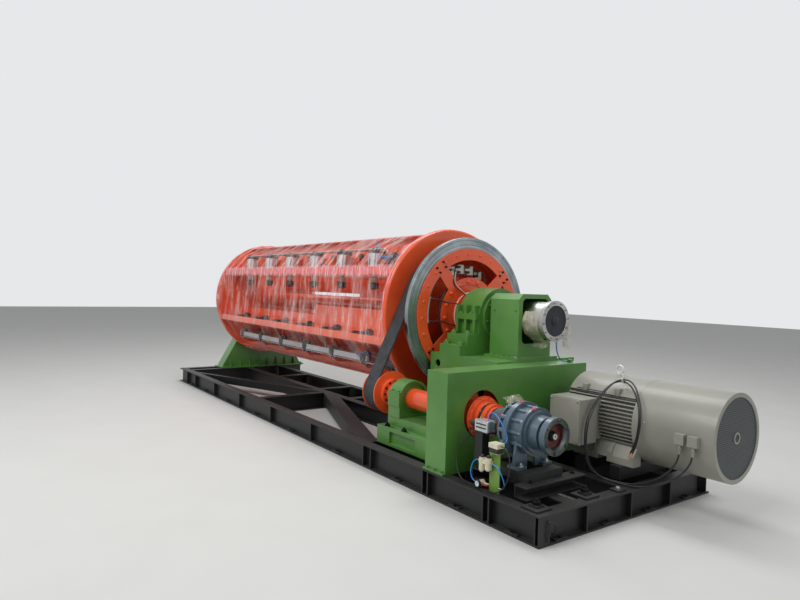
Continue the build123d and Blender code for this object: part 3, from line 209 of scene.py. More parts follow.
def grainedSurface(name, row, kind):
    # two close tones over 60 to 80 mm of noise, a grain of a few mm in the bump, and on metal a softened edge
    look = dict(zip(grainedKeys, row))
    material, add, place = startMaterial(name)
    drift = add("TexNoise", kind["drift"], {"Vector": place})
    share = add("MapRange", kind["range"], {0: drift})
    links = twoTones(add, share, look["colour"], look["dark"], look["rough"], kind["step"])
    heights = {"Height": add("TexNoise", {"Scale": 1000 / look["grain"], "Detail": 2}, {"Vector": place})}
    if kind["edge"]:
        heights["Normal"] = add("Bevel", {"samples": 4, "Radius": kind["edge"] * mm})
    bump = add("Bump", {"Strength": look["bump"], "Distance": 0.5 * mm}, heights)
    return endMaterial(material, kind["shader"], {**links, "Normal": bump})


def turnedSteel(name, height, colour, dark, rough):
    # steel faced on a lathe: grooves are noise of the distance from the axis alone, 2 to 5 mm apart,
    # drawn coarser than the real 0.3 mm so that they show
    material, add, place = startMaterial(name)
    centred = add("Mapping", {"vector_type": "POINT", "Location": (0, 0, -height * mm), "Scale": (0, 1, 1)},
                  {"Vector": place})
    radius = add("VectorMath", {"operation": "LENGTH"}, {0: centred}).outputs["Value"]
    groove = add("TexNoise", {"noise_dimensions": "1D", "Scale": 420, "Detail": 3}, {"W": radius})
    band = add("TexNoise", {"noise_dimensions": "1D", "Scale": 26, "Detail": 2}, {"W": radius})
    stain = add("TexNoise", {"Scale": 4, "Detail": 6}, {"Vector": place})
    both = add("Math", {"operation": "MULTIPLY"}, {0: band, 1: stain})
    share = add("MapRange", {1: 0.16, 2: 0.36}, {0: both})
    links = twoTones(add, share, colour, dark, rough, 0.12)
    soft = add("Bevel", {"samples": 4, "Radius": 2 * mm})
    bump = add("Bump", {"Strength": 0.12, "Distance": 0.5 * mm}, {"Height": groove, "Normal": soft})
    turned = add("Tangent", {"direction_type": "RADIAL", "axis": "X"})
    return endMaterial(material, {"Metallic": 1.0, "Anisotropic": 0.72}, {**links, "Normal": bump, "Tangent": turned})


# the hole colour is painted shade: the dark inside of the cowl behind the holes
perforation = {"pitch": 14, "sheet": "#484F51", "hole": "#15181A", "edge": {1: 0.34, 2: 0.5}}


def perforatedSteel(name, look, y, z):
    # punched and enamelled sheet: rows of 9 mm holes 14 mm apart, sine of y times sine of z past a threshold
    material, add, place = startMaterial(name)
    centred = add("Mapping", {"Location": (0, -y * mm, -z * mm)}, {"Vector": place})
    axes = add("SeparateXYZ", None, {0: centred})
    scaled = [add("Math", {"operation": "MULTIPLY", 1: np.pi / (look["pitch"] * mm)}, {0: axes.outputs[i]})
              for i in (1, 2)]
    waveY, waveZ = (add("Math", {"operation": "SINE"}, {0: node}) for node in scaled)
    grid = add("Math", {"operation": "MULTIPLY"}, {0: waveY, 1: waveZ})
    size = add("Math", {"operation": "ABSOLUTE"}, {0: grid})
    hole = add("MapRange", look["edge"], {0: size})
    # the holes are painted dark, as painted shade of the cowl's inside behind them
    tone = add("Mix", {"data_type": "RGBA", 6: linearColour(look["sheet"]), 7: linearColour(look["hole"])}, {0: hole})
    bump = add("Bump", {"Strength": 0.6, "Distance": 2 * mm, "invert": True}, {"Height": hole})
    return endMaterial(material, {"IOR": 1.5, "Roughness": 0.45}, {"Base Color": tone.outputs[2], "Normal": bump})


# cast stretch film of 0.02 mm polyethylene: clear and glossy, with pale streaks where layers are drawn together, which
# are also painted glints, and milky pink where it lies hard on the lips and the discs, which is also a painted pink
# highlight; streaks are scale, width, gain and shift
film = {
    "tint": "#FFDCD4", "pressAndGlint": "#FFB0B6", "clear": 0.02, "soft": 0.1, "streak": 0.78, "pressedAndGlint": 0.85, "rough": 0.06,
    "startX": -2286, "endX": 2350, "lift": 4, "lipY": 395, "lipRadius": 860, "lipInner": 315,
    "propAngle": 44.5, "propRadius": 870, "capRise": 10, "capHalf": 110, "sag": 9,
    # the lip band's share on the lowest lips is small: its painted highlight fades downwards
    "discRadius": 869, "bayTilt": 5, "bobbinPitch": 680, "slant": 0.06, "lowTouchAndGlint": 0.12,
}
packing = {"tint": "#CFC7B0", "pressAndGlint": "#CFC7B0", "clear": 0.3, "soft": 0.68, "streak": 0.9, "rough": 0.1}
streaks = ((33, 0.035, 0.85, 0.0), (78, 0.06, 0.6, 3.7), (12, 0.013, 1.0, 8.1))


def stretchFilm(name, look, wrapped):
    # streaks are the thin ridges of noise drawn out along the wrap, where it crosses its middle value; the
    # film's own map gives the way round, or the object's place where it isn't wrapped; streaks are drawn
    # 4 to 8 mm wide, coarser than the real ones
    material, add, place = startMaterial(name)
    if wrapped:
        place = add("UVMap", {"uv_map": "wrap"})
    along = add("Mapping", {"Scale": (1.0, 0.035, 1.0) if wrapped else (1.0, 0.6, 0.35)}, {"Vector": place})
    total = None
    for scale, width, gain, seed in streaks:
        shift = add("Mapping", {"Location": (seed, seed, 0)}, {"Vector": along})
        noise = add("TexNoise", {"Scale": scale, "Detail": 3, "Roughness": 0.5, "Distortion": 0.1}, {"Vector": shift})
        off = add("Math", {"operation": "SUBTRACT", 1: 0.5}, {0: noise})
        gap = add("Math", {"operation": "ABSOLUTE"}, {0: off})
        line = add("MapRange", {1: 0.0, 2: width, 3: gain, 4: 0.0}, {0: gap})
        total = line if total is None else add("Math", {"operation": "MAXIMUM"}, {0: total, 1: line})
    spread = add("Mapping", {"Scale": (1.0, 0.22, 1.0) if wrapped else (1.0, 1.0, 1.0)}, {"Vector": place})
    patch = add("TexNoise", {"Scale": 7, "Detail": 5, "Roughness": 0.65}, {"Vector": spread})
    patchShare = add("MapRange", {1: 0.44, 2: 0.6}, {0: patch})
    streaked = add("Math", {"operation": "MULTIPLY"}, {0: total, 1: patchShare})
    streakAlpha = add("Math", {"operation": "MULTIPLY", 1: look["streak"]}, {0: streaked})
    if wrapped:
        # the streaks, partly painted glints, are faded towards the cage's underside by this attribute: painted shade
        # where less light falls
        streakLightIn = add("Attribute", {"attribute_name": "drawn"}).outputs["Fac"]
        streakAlpha = add("Math", {"operation": "MULTIPLY"}, {0: streakAlpha, 1: streakLightIn})
    softAlpha = add("MapRange", {1: 0.4, 2: 0.75, 3: look["clear"], 4: look["soft"]}, {0: patch})
    alpha = add("Math", {"operation": "ADD", "use_clamp": True}, {0: streakAlpha, 1: softAlpha})
    touchAndGlintLink = {}
    if wrapped:
        # film lying on the lips and the disc rims is drawn milky pink: partly real pressed film, partly a painted
        # highlight, strongest on the upper lips
        touchAndGlintLink[0] = touch = add("Attribute", {"attribute_name": "touch"}).outputs["Fac"]
        crease = add("TexNoise", {"Scale": 34, "Detail": 4, "Roughness": 0.65}, {"Vector": spread})
        pressedAndGlint = add("MapRange", {1: 0.44, 2: 0.62, 3: 0.18, 4: look["pressedAndGlint"]}, {0: crease})
        heldAndGlint = add("Math", {"operation": "MULTIPLY"}, {0: touch, 1: pressedAndGlint})
        alpha = add("Math", {"operation": "ADD", "use_clamp": True}, {0: alpha, 1: heldAndGlint})
    tone = add("Mix", {"data_type": "RGBA", 0: 0.0, 6: linearColour(look["tint"]), 7: linearColour(look["pressAndGlint"])},
               touchAndGlintLink)
    folds = add("TexNoise", {"Scale": 30, "Detail": 5, "Roughness": 0.6}, {"Vector": along})
    bump = add("Bump", {"Strength": 0.8, "Distance": 5 * mm}, {"Height": folds})
    return endMaterial(material, {"IOR": 1.5, "Roughness": look["rough"]},
                       {"Base Color": tone.outputs[2], "Alpha": alpha, "Normal": bump})


finish = {name: sprayedEnamel(name, row) for name, row in enamels.items()}
finish.update({name: grainedSurface(name, row, metalKind) for name, row in metals.items()})
finish.update({name: grainedSurface(name, row, polymerKind) for name, row in polymers.items()})
finish["turnedRing"] = turnedSteel("turnedRing", cageHeight, "#A6AEB1", "#6B7478", 0.24)
finish["turnedSlipRing"] = turnedSteel("turnedSlipRing", cageHeight, "#C6C5C2", "#A3A2A0", 0.26)
finish["perforatedSteel"] = perforatedSteel("perforatedSteel", perforation, **motorLine)
finish["stretchFilm"] = stretchFilm("stretchFilm", film, True)
finish["packingFilm"] = stretchFilm("packingFilm", packing, False)

slotFinish = {
    "black_base": "blackEnamel", "green_paint": "greenEnamel", "orange_paint": "orangeEnamel",
    "slip_ring_steel": "turnedSlipRing", "ring_steel": "turnedRing", "belt_rubber": "wovenBelt",
    "reducer_grey": "reducerEnamel", "cylinder_aluminium": "anodisedAluminium", "cream_plastic": "mouldedCream",
    "motor_grey": "motorEnamel", "grille_grey": "perforatedSteel", "grey_bar": "greyPrimer",
    "pintle_steel": "forgedSteel", "module_plastic": "nylonGear", "cable_black": "pvcSheathBlack",
    "hose_blue": "polyurethaneBlue",
}
nodeFinish = {"main_bearing_housing": "greenCasting", "shaft_bearing": "greenCasting", "shaft_slide": "greenCasting",
              "tail_bearing": "greenCasting", "air_unit_post": "postEnamel"}
for part in frame["record"]["subparts"]:
    data = frame["nodes"][part["node"]].data
    data.materials.clear()
    data.materials.append(finish[nodeFinish.get(part["node"], slotFinish[part["material_slot"]])])
print("materials on the nodes")


def gridFaces(rows, columns, closeColumns=True):
    # quads between neighbouring points of a grid that is stored row by row
    row, column = np.meshgrid(np.arange(rows - 1), np.arange(columns if closeColumns else columns - 1), indexing="ij")
    after = (column + 1) % columns
    return np.stack([row * columns + column, row * columns + after,
                     (row + 1) * columns + after, (row + 1) * columns + column], -1).reshape(-1, 4)


def turnedForm(profile, count=20):
    # radius times cosine and sine of the turn, at each height of the profile (height, radius)
    height, radius = np.array(profile, float).T[:, :, None]
    turn = np.arange(count) * 2 * np.pi / count
    points = np.stack([radius * np.cos(turn), radius * np.sin(turn), height + 0 * turn], -1)
    return points.reshape(-1, 3), gridFaces(len(height), count)


def stubProfile(low, high, radius, edge):
    # a plain round stub with a bevelled rim at its far end
    return [(low, 0), (low, radius), (high - edge, radius), (high, radius - edge), (high, 0)]


def around(middle, half):
    # the two ends of a stretch, half its length to each side of its middle
    return middle - half, middle + half


def boxForm(xs, ys, zs, edge, corner=None, steps=3):
    # rounded rectangle carried up: its corner radius is drawn in by edge less edge times the sine of the rise
    low, high = np.array([xs, ys, zs], float).T
    half, centre = (high - low) / 2, (high + low) / 2
    edge = min(edge, *(half * 0.98))
    corner = min(max(edge, corner or edge), *half[:2])
    rise = np.linspace(0, np.pi / 2, steps)
    turn = (rise + np.arange(4)[:, None] * np.pi / 2).ravel()
    sign = np.repeat([[1, 1], [-1, 1], [-1, -1], [1, -1]], steps, axis=0)
    reach = corner - edge + np.concatenate([[0], np.sin(rise), np.cos(rise), [0]]) * edge
    spread = np.ones(len(reach))
    spread[[0, -1]] = reach[[0, -1]] = 0
    height = np.concatenate([[-half[2]], -half[2] + edge - edge * np.cos(rise), half[2] - edge + edge * np.sin(rise),
                             [half[2]]])
    flat = (spread[:, None, None] * sign * (half[:2] - corner)
            + reach[:, None, None] * np.stack([np.cos(turn), np.sin(turn)], -1))
    points = np.concatenate([flat, np.broadcast_to(height[:, None, None], (*flat.shape[:2], 1))], -1)
    return points.reshape(-1, 3) + centre, gridFaces(len(height), len(turn))


def tubeForm(path, radius, count=12, close=True):
    # circles of the given radius about each point of the path, across its direction there
    path = np.array(path, float)
    along = np.gradient(path, axis=0)
    along /= np.linalg.norm(along, axis=1, keepdims=True)
    guide = np.eye(3)[np.argmin(np.abs(along).max(0))]
    side = np.cross(guide, along)
    side /= np.linalg.norm(side, axis=1, keepdims=True)
    up = np.cross(along, side)
    size = np.broadcast_to(np.array(radius, float), len(path)).copy()
    if close:
        path, side, up = (np.concatenate([part[:1], part, part[-1:]]) for part in (path, side, up))
        size = np.concatenate([[0], size, [0]])
    turn = np.arange(count)[:, None] * 2 * np.pi / count
    points = path[:, None] + size[:, None, None] * (np.cos(turn) * side[:, None] + np.sin(turn) * up[:, None])
    return points.reshape(-1, 3), gridFaces(len(path), count)


def joined(*forms):
    # several forms as one
    starts = np.cumsum([0] + [len(points) for points, faces in forms[:-1]])
    return (np.concatenate([points for points, faces in forms]),
            np.concatenate([faces + start for (points, faces), start in zip(forms, starts)]))


def placed(form, spots, axis=(0, 0, 1)):
    # a copy of the form at each spot, with its own Z turned to the axis
    points, faces = form
    up = np.array(axis, float) / np.linalg.norm(axis)
    side = np.cross((0, 0, 1) if abs(up[2]) < 0.9 else (0, 1, 0), up)
    side /= np.linalg.norm(side)
    turned = points @ np.array([side, np.cross(up, side), up])
    spots = np.atleast_2d(np.array(spots, float))
    return ((spots[:, None] + turned).reshape(-1, 3),
            (faces + np.arange(len(spots))[:, None, None] * len(points)).reshape(-1, faces.shape[1]))


def ringSpots(x, radius, count, start=0.0, y=0, z=cageHeight):
    # count points on a circle across X, from the start angle on
    turn = start + np.arange(count) * 2 * np.pi / count
    return np.stack([x + 0 * turn, y + radius * np.cos(turn), z + radius * np.sin(turn)], -1)


def arcSpots(x, radius, degrees):
    # points on a circle about the cage axis, by their angles up from the aisle side
    turn = np.radians(degrees)
    return np.stack([x + 0 * turn, -radius * np.cos(turn), cageHeight + radius * np.sin(turn)], -1)


def everySpot(xs, ys, zs):
    # each x with each y and each z
    return [(x, y, z) for x in xs for y in ys for z in zs]


def makePiece(name, form, material, slot=None, body="frame", angle=38, closed=True):
    # the form as a mesh in metres, its doubles merged and its faces pointing out
    points, faces = form
    mesh = bpy.data.meshes.new(name)
    mesh.from_pydata((points * mm).tolist(), [], faces.tolist())
    work = bmesh.new()
    work.from_mesh(mesh)
    bmesh.ops.remove_doubles(work, verts=work.verts, dist=1e-5)
    if closed:
        bmesh.ops.recalc_face_normals(work, faces=work.faces)
    work.to_mesh(mesh)
    work.free()
    mesh.shade_smooth()
    mesh.set_sharp_from_angle(angle=np.radians(angle))
    mesh.materials.append(finish[material])
    piece = bpy.data.objects.new(name, mesh)
    bpy.context.scene.collection.objects.link(piece)
    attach(piece, body)
    return piece


# routes in mm: those of the CAD cords are the same points as in the part's source; the others lie in the windows of
# the end plate and over the last cylinder of the two front rows, and turn with the cage
cordDefaults = {"farEnd": "object", "stiffness": "medium", "lay": "loose", "material": "pvcSheathBlack"}
cords = {
    "motor_cable_1": {"diameter": 12, "length": 2330, "farEnd": "bare", "points": (
        (4993, -172, 546), (4993, -172, 486), (4970, -182, 418), (4925, -195, 356), (4866, -207, 303),
        (4795, -219, 258), (4718, -230, 225), (4640, -242, 209), (4562, -254, 207), (4488, -266, 208),
        (4424, -284, 218), (4380, -312, 258), (4358, -336, 322), (4350, -350, 404), (4348, -356, 490),
        (4348, -350, 576), (4348, -326, 658), (4350, -274, 732), (4352, -204, 796), (4356, -130, 852),
        (4372, -66, 894), (4412, -32, 912), (4466, -26, 910), (4526, -48, 888), (4588, -90, 846),
        (4640, -132, 786), (4670, -160, 716), (4680, -178, 640), (4674, -184, 560), (4654, -180, 484),
        (4618, -172, 418))},
    "motor_cable_2": {"diameter": 12, "length": 2400, "farEnd": "bare", "points": (
        (5087, -172, 546), (5087, -172, 484), (5060, -186, 416), (5010, -200, 352), (4944, -214, 298),
        (4866, -229, 255), (4786, -242, 224), (4706, -256, 209), (4628, -270, 207), (4552, -283, 208),
        (4484, -298, 216), (4428, -322, 248), (4396, -350, 306), (4382, -368, 384), (4378, -376, 472),
        (4378, -370, 560), (4378, -348, 646), (4379, -298, 728), (4381, -226, 800), (4386, -150, 860),
        (4402, -86, 908), (4444, -48, 932), (4502, -42, 932), (4562, -66, 906), (4616, -106, 862),
        (4662, -146, 806), (4694, -176, 738), (4706, -196, 660), (4700, -202, 576), (4680, -198, 496),
        (4648, -190, 426))},
    "slip_ring_hose": {"diameter": 10, "length": 310, "material": "nylonTeal", "points": (
        (3722, 38, 1150), (3722, 38, 1112), (3723, 46, 1070), (3724, 66, 1030), (3722, 96, 998),
        (3715, 136, 979), (3706, 188, 974), (3706, 232, 974))},
    "air_hose_1": {"diameter": 8, "length": 410, "material": "polyurethaneBlue", "points": (
        (4062, -1082, 646), (4062, -1082, 678), (4082, -1085, 708), (4122, -1092, 716), (4164, -1100, 702),
        (4204, -1106, 674), (4236, -1106, 640), (4258, -1099, 598), (4268, -1092, 558), (4268, -1122, 528),
        (4268, -1159, 528))},
    "air_hose_2": {"diameter": 8, "length": 255, "material": "polyurethaneBlue", "points": (
        (4130, -1217, 398), (4102, -1217, 398), (4072, -1220, 382), (4054, -1226, 346), (4046, -1227, 302),
        (4049, -1221, 260), (4074, -1217, 235), (4108, -1217, 235))},
    "air_hose_3": {"diameter": 8, "length": 263, "material": "polyurethaneBlue", "points": (
        (4240, -1217, 398), (4270, -1217, 398), (4302, -1216, 384), (4330, -1212, 350), (4346, -1202, 306),
        (4348, -1190, 261), (4326, -1188, 236), (4295, -1188, 236))},
    "clutch_cable": {"diameter": 8, "length": 1172, "stiffness": "limp", "points": (
        (4304, -1190, 528), (4338, -1190, 528), (4370, -1190, 500), (4388, -1191, 446), (4392, -1194, 384),
        (4384, -1199, 324), (4366, -1207, 274), (4336, -1218, 234), (4290, -1228, 211), (4228, -1234, 206),
        (4160, -1236, 206), (4092, -1232, 206), (4024, -1226, 206), (3960, -1219, 210), (3906, -1210, 232),
        (3868, -1200, 276), (3848, -1188, 330), (3842, -1172, 388), (3850, -1150, 444), (3870, -1124, 488),
        (3898, -1102, 522), (3898, -1102, 556))},
    "window_cable_1": {"length": 409, "diameter": 9, "points": (
        (2512, -146, 1777), (2546, -150, 1776), (2580, -166, 1762), (2612, -192, 1738), (2633, -218, 1706),
        (2643, -230, 1668), (2643, -222, 1634), (2650, -200, 1604), (2660, -170, 1576), (2668, -136, 1552),
        (2672, -96, 1530))},
    "window_cable_2": {"length": 415, "diameter": 8, "material": "whiteTape", "points": (
        (2512, -130, 1790), (2548, -136, 1790), (2584, -152, 1776), (2616, -178, 1752), (2636, -204, 1720),
        (2644, -216, 1682), (2644, -208, 1646), (2651, -186, 1616), (2661, -156, 1588), (2668, -122, 1562),
        (2672, -86, 1534))},
    "window_hose_1": {"length": 387, "diameter": 12, "points": (
        (2608, -522, 1472), (2614, -497, 1481), (2624, -464, 1488), (2636, -424, 1484), (2643, -380, 1472),
        (2645, -338, 1460), (2656, -298, 1452), (2672, -258, 1447), (2690, -220, 1442), (2712, -160, 1426))},
    "window_hose_2": {"length": 402, "diameter": 12, "points": (
        (2608, -526, 1284), (2614, -503, 1275), (2624, -470, 1268), (2636, -430, 1268), (2643, -388, 1272),
        (2645, -350, 1266), (2656, -312, 1250), (2672, -272, 1236), (2690, -232, 1225), (2716, -150, 1235))},
    "window_hose_3": {"length": 331, "diameter": 15, "points": (
        (2511, 152, 1718), (2540, 152, 1718), (2564, 146, 1728), (2575, 146, 1750), (2577, 164, 1772),
        (2576, 194, 1778), (2575, 222, 1764), (2574, 242, 1734), (2574, 252, 1698), (2577, 252, 1662),
        (2584, 244, 1634), (2596, 232, 1612))},
    "row_hose_1": {"length": 450, "diameter": 8, "material": "polyurethaneBlue", "points": (
        (1668, -503, 2011), (1660, -486, 2035), (1630, -444, 2056), (1570, -413, 2064), (1510, -402, 2045),
        (1475, -405, 2003), (1462, -418, 1954), (1458, -433, 1895), (1456, -449, 1826))},
    "row_hose_2": {"length": 471, "diameter": 8, "material": "polyurethaneBlue", "points": (
        (1690, -503, 2011), (1686, -486, 2040), (1660, -438, 2066), (1600, -399, 2075), (1545, -387, 2055),
        (1508, -389, 2011), (1492, -402, 1957), (1486, -423, 1894), (1480, -441, 1825))},
    "row_hose_3": {"length": 374, "diameter": 8, "material": "polyurethaneBlue", "points": (
        (1668, -676, 832), (1676, -701, 854), (1712, -716, 884), (1770, -709, 890), (1800, -663, 871),
        (1808, -605, 841), (1802, -547, 819), (1788, -516, 809), (1774, -500, 807))},
    "row_hose_4": {"length": 333, "diameter": 8, "material": "polyurethaneBlue", "points": (
        (1640, -675, 830), (1628, -695, 852), (1594, -706, 883), (1562, -685, 893), (1556, -640, 877),
        (1574, -593, 847), (1602, -553, 821), (1622, -522, 809), (1629, -500, 807))},
}


def cordPiece(name, look):
    # one open NURBS spline through the route's control points, with a round section
    points = np.array(look["points"], float) * mm
    curve = bpy.data.curves.new(name, "CURVE")
    curve.dimensions = "3D"
    spline = curve.splines.new("NURBS")
    spline.points.add(len(points) - 1)
    spline.points.foreach_set("co", np.column_stack([points, np.ones(len(points))]).ravel())
    spline.order_u = 3
    spline.use_endpoint_u = True
    curve.resolution_u = 10
    curve.bevel_depth = look["diameter"] * mm / 2
    curve.bevel_resolution = 4
    curve.use_fill_caps = True
    curve.materials.append(finish[look["material"]])
    piece = bpy.data.objects.new("cord_" + name, curve)
    bpy.context.scene.collection.objects.link(piece)
    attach(piece, "frame" if name in frame["nodes"] else "cage")
    if name in frame["nodes"]:
        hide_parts(name)
    return piece


# the bare ends of the motor cables: three orange sleeved cores that come out of each sheath and spread
cores = {"cables": ("motor_cable_1", "motor_cable_2"), "places": ((-3, 2, 0), (3, 2, 0), (0, -3, 0)), "length": 42,
         "spread": (0.6, 2.2), "radius": 1.9}
coreForms = []
reach = np.linspace(0, 1, 7)[:, None]
for name in cores["cables"]:
    tip, before = np.array(cords[name]["points"], float)[[-1, -2]]
    heading = (tip - before) / np.linalg.norm(tip - before)
    for place in cores["places"]:
        apart = np.array(place) * (cores["spread"][0] + reach * reach * cores["spread"][1])
        coreForms.append(tubeForm(tip + heading * reach * cores["length"] + apart, cores["radius"], 8))
endPieces = {"motor_cable_1": [makePiece("cable_cores", joined(*coreForms), "orangeSleeve", "cable_black")]}

for name, route in cords.items():
    look = {**cordDefaults, **route}
    cordPiece(name, look)
print("cords laid")


def filmSkin(look):
    # hull through the lips and the cylinder ends, straight between them, let in by folds that run round the cage
    lip = np.degrees(np.arcsin(look["lipY"] / look["lipRadius"]))
    knots = np.array([-lip, lip, look["propAngle"], 90 - lip])
    quarter = np.concatenate([np.linspace(*knots[i:i + 2], count)[:-1] for i, count in enumerate((23, 9, 9))])
    angle = np.concatenate([quarter + 90 * k for k in range(4)])
    local = np.tile(quarter, 4)
    x = np.linspace(look["startX"], look["endX"], 465)
    place = np.abs((x / look["bobbinPitch"]) % 1 - 0.5) * look["bobbinPitch"]
    prop = look["propRadius"] + look["capRise"] * np.exp(-(place / look["capHalf"]) ** 6)
    span = np.searchsorted(knots, local, side="right") - 1
    low, high = knots[span], knots[span + 1]
    lipRing = np.full_like(x, look["lipRadius"])
    radii = np.stack([lipRing, lipRing, prop, lipRing])
    first, last = radii[span], radii[span + 1]
    before, after, whole = (np.radians(v)[:, None] for v in (local - low, high - local, high - low))
    chord = first * last * np.sin(whole) / (first * np.sin(before) + last * np.sin(after))
    part = ((local - low) / (high - low))[:, None]
    rng = np.random.default_rng(7)
    lengths, phases = rng.uniform(42, 260, 26), rng.uniform(0, 2 * np.pi, (3, 26))
    slant = np.radians(angle)[:, None, None]
    folds = np.sin(2 * np.pi * x[None, :, None] / lengths + phases[0]
                   + 1.6 * np.sin(2 * slant + phases[1]) + 0.8 * np.sin(5 * slant + phases[2]))
    folds = (folds * (lengths / 260) ** 0.5).sum(-1) / 6.5
    radius = chord + look["lift"] - look["sag"] * np.sin(np.pi * part) ** 2 * (0.5 + 0.5 * folds)
    edge = np.clip(np.minimum(x + 2262, 2322 - x) / 26, 0, 1)
    edge = edge * edge * (3 - 2 * edge)
    radius = radius * edge + (look["discRadius"] + 1.2 * folds) * (1 - edge)
    ragged = 7 * np.sin(9 * slant[:, :, 0]) * np.sin(23 * slant[:, :, 0] + 1) * (1 - edge)
    turn = np.radians(angle + look["bayTilt"])[:, None]
    points = np.stack([x + ragged, -radius * np.cos(turn), cageHeight + radius * np.sin(turn)], -1)
    inner = np.degrees(np.arcsin(look["lipInner"] / look["lipRadius"]))
    across = np.where(local > lip, 90 - local, np.abs(local))
    onLip = np.clip((across - inner + 0.6) / 0.8, 0, 1) * np.clip((lip + 0.9 - across) / 0.9, 0, 1)
    # the lip band is strongest on upward-facing lips and faint on the lower ones, and stands at 0.8 on the disc rims:
    # film lying there, and a painted highlight where light falls
    load = look["lowTouchAndGlint"] + (1 - look["lowTouchAndGlint"]) * np.clip(3 * np.sin(turn), 0, 1)
    touch = np.maximum(onLip[:, None] * edge * load, (1 - edge) * 0.8)
    arc = np.radians(angle)[:, None] * look["lipRadius"] + 0 * x
    wrap = np.stack([x + look["slant"] * arc, arc], -1) * mm
    # streaks stay full on the upper side and fade to 0.4 underneath: painted light on the glints of the streaks
    drawn = 0.4 + 0.6 * np.clip(1.4 + 2.5 * np.sin(turn), 0, 1) + 0 * touch
    return [part.swapaxes(0, 1) for part in (points, touch, drawn, wrap)], gridFaces(len(x), len(angle))


(filmPoints, touch, drawn, wrap), filmFaces = filmSkin(film)
filmPiece = makePiece("stretch_film", (filmPoints.reshape(-1, 3), filmFaces), "stretchFilm", body="cage", angle=180,
                      closed=False)
mesh = filmPiece.data
for name, share in (("touch", touch), ("drawn", drawn)):
    mesh.attributes.new(name, "FLOAT", "POINT").data.foreach_set("value", share.ravel().astype(np.float32))
# the last column of faces closes the ring, so its far corners take the start's map plus one turn round
corners = np.empty(len(mesh.loops), np.int32)
mesh.loops.foreach_get("vertex_index", corners)
wrapMap = wrap.reshape(-1, 2)[corners].reshape(-1, 4, 2)
turnLength = 2 * np.pi * film["lipRadius"] * mm
seam = np.ptp(wrapMap[:, :, 1], axis=1) > turnLength / 2
start = wrapMap[seam, :, 1:] < wrapMap[seam, :, 1:].mean(1, keepdims=True)
wrapMap[seam] += start * turnLength * np.array([film["slant"], 1])
mesh.uv_layers.new(name="wrap").data.foreach_set("uv", wrapMap.ravel().astype(np.float32))
print("film wrapped")


def bolt(thread):
    # washer 2.2 threads wide, then a hexagon 1.6 threads across its flats with a turned chamfer
    washer = turnedForm([(0, 0), (0, 1.12 * thread), (0.14 * thread, 1.12 * thread), (0.16 * thread, 0)], 14)
    head = turnedForm([(0.14 * thread, 0), (0.14 * thread, 0.92 * thread), (0.72 * thread, 0.92 * thread),
                       (0.8 * thread, 0.8 * thread), (0.8 * thread, 0)], 6)
    return joined(washer, head)


def studNut(thread):
    # the same nut and washer on a stud that stands half a thread out of it
    stud = turnedForm([(0.7 * thread, 0), (0.7 * thread, 0.5 * thread), (1.25 * thread, 0.5 * thread),
                       (1.3 * thread, 0.4 * thread), (1.3 * thread, 0)], 10)
    return joined(bolt(thread), stud)


def capScrew(thread):
    # socket head 1.5 threads wide and one high, with its socket sunk 0.5 thread
    return turnedForm([(0, 0), (0, 0.75 * thread), (0.92 * thread, 0.75 * thread), (thread, 0.66 * thread),
                       (thread, 0.42 * thread), (0.5 * thread, 0.42 * thread), (0.5 * thread, 0)], 12)


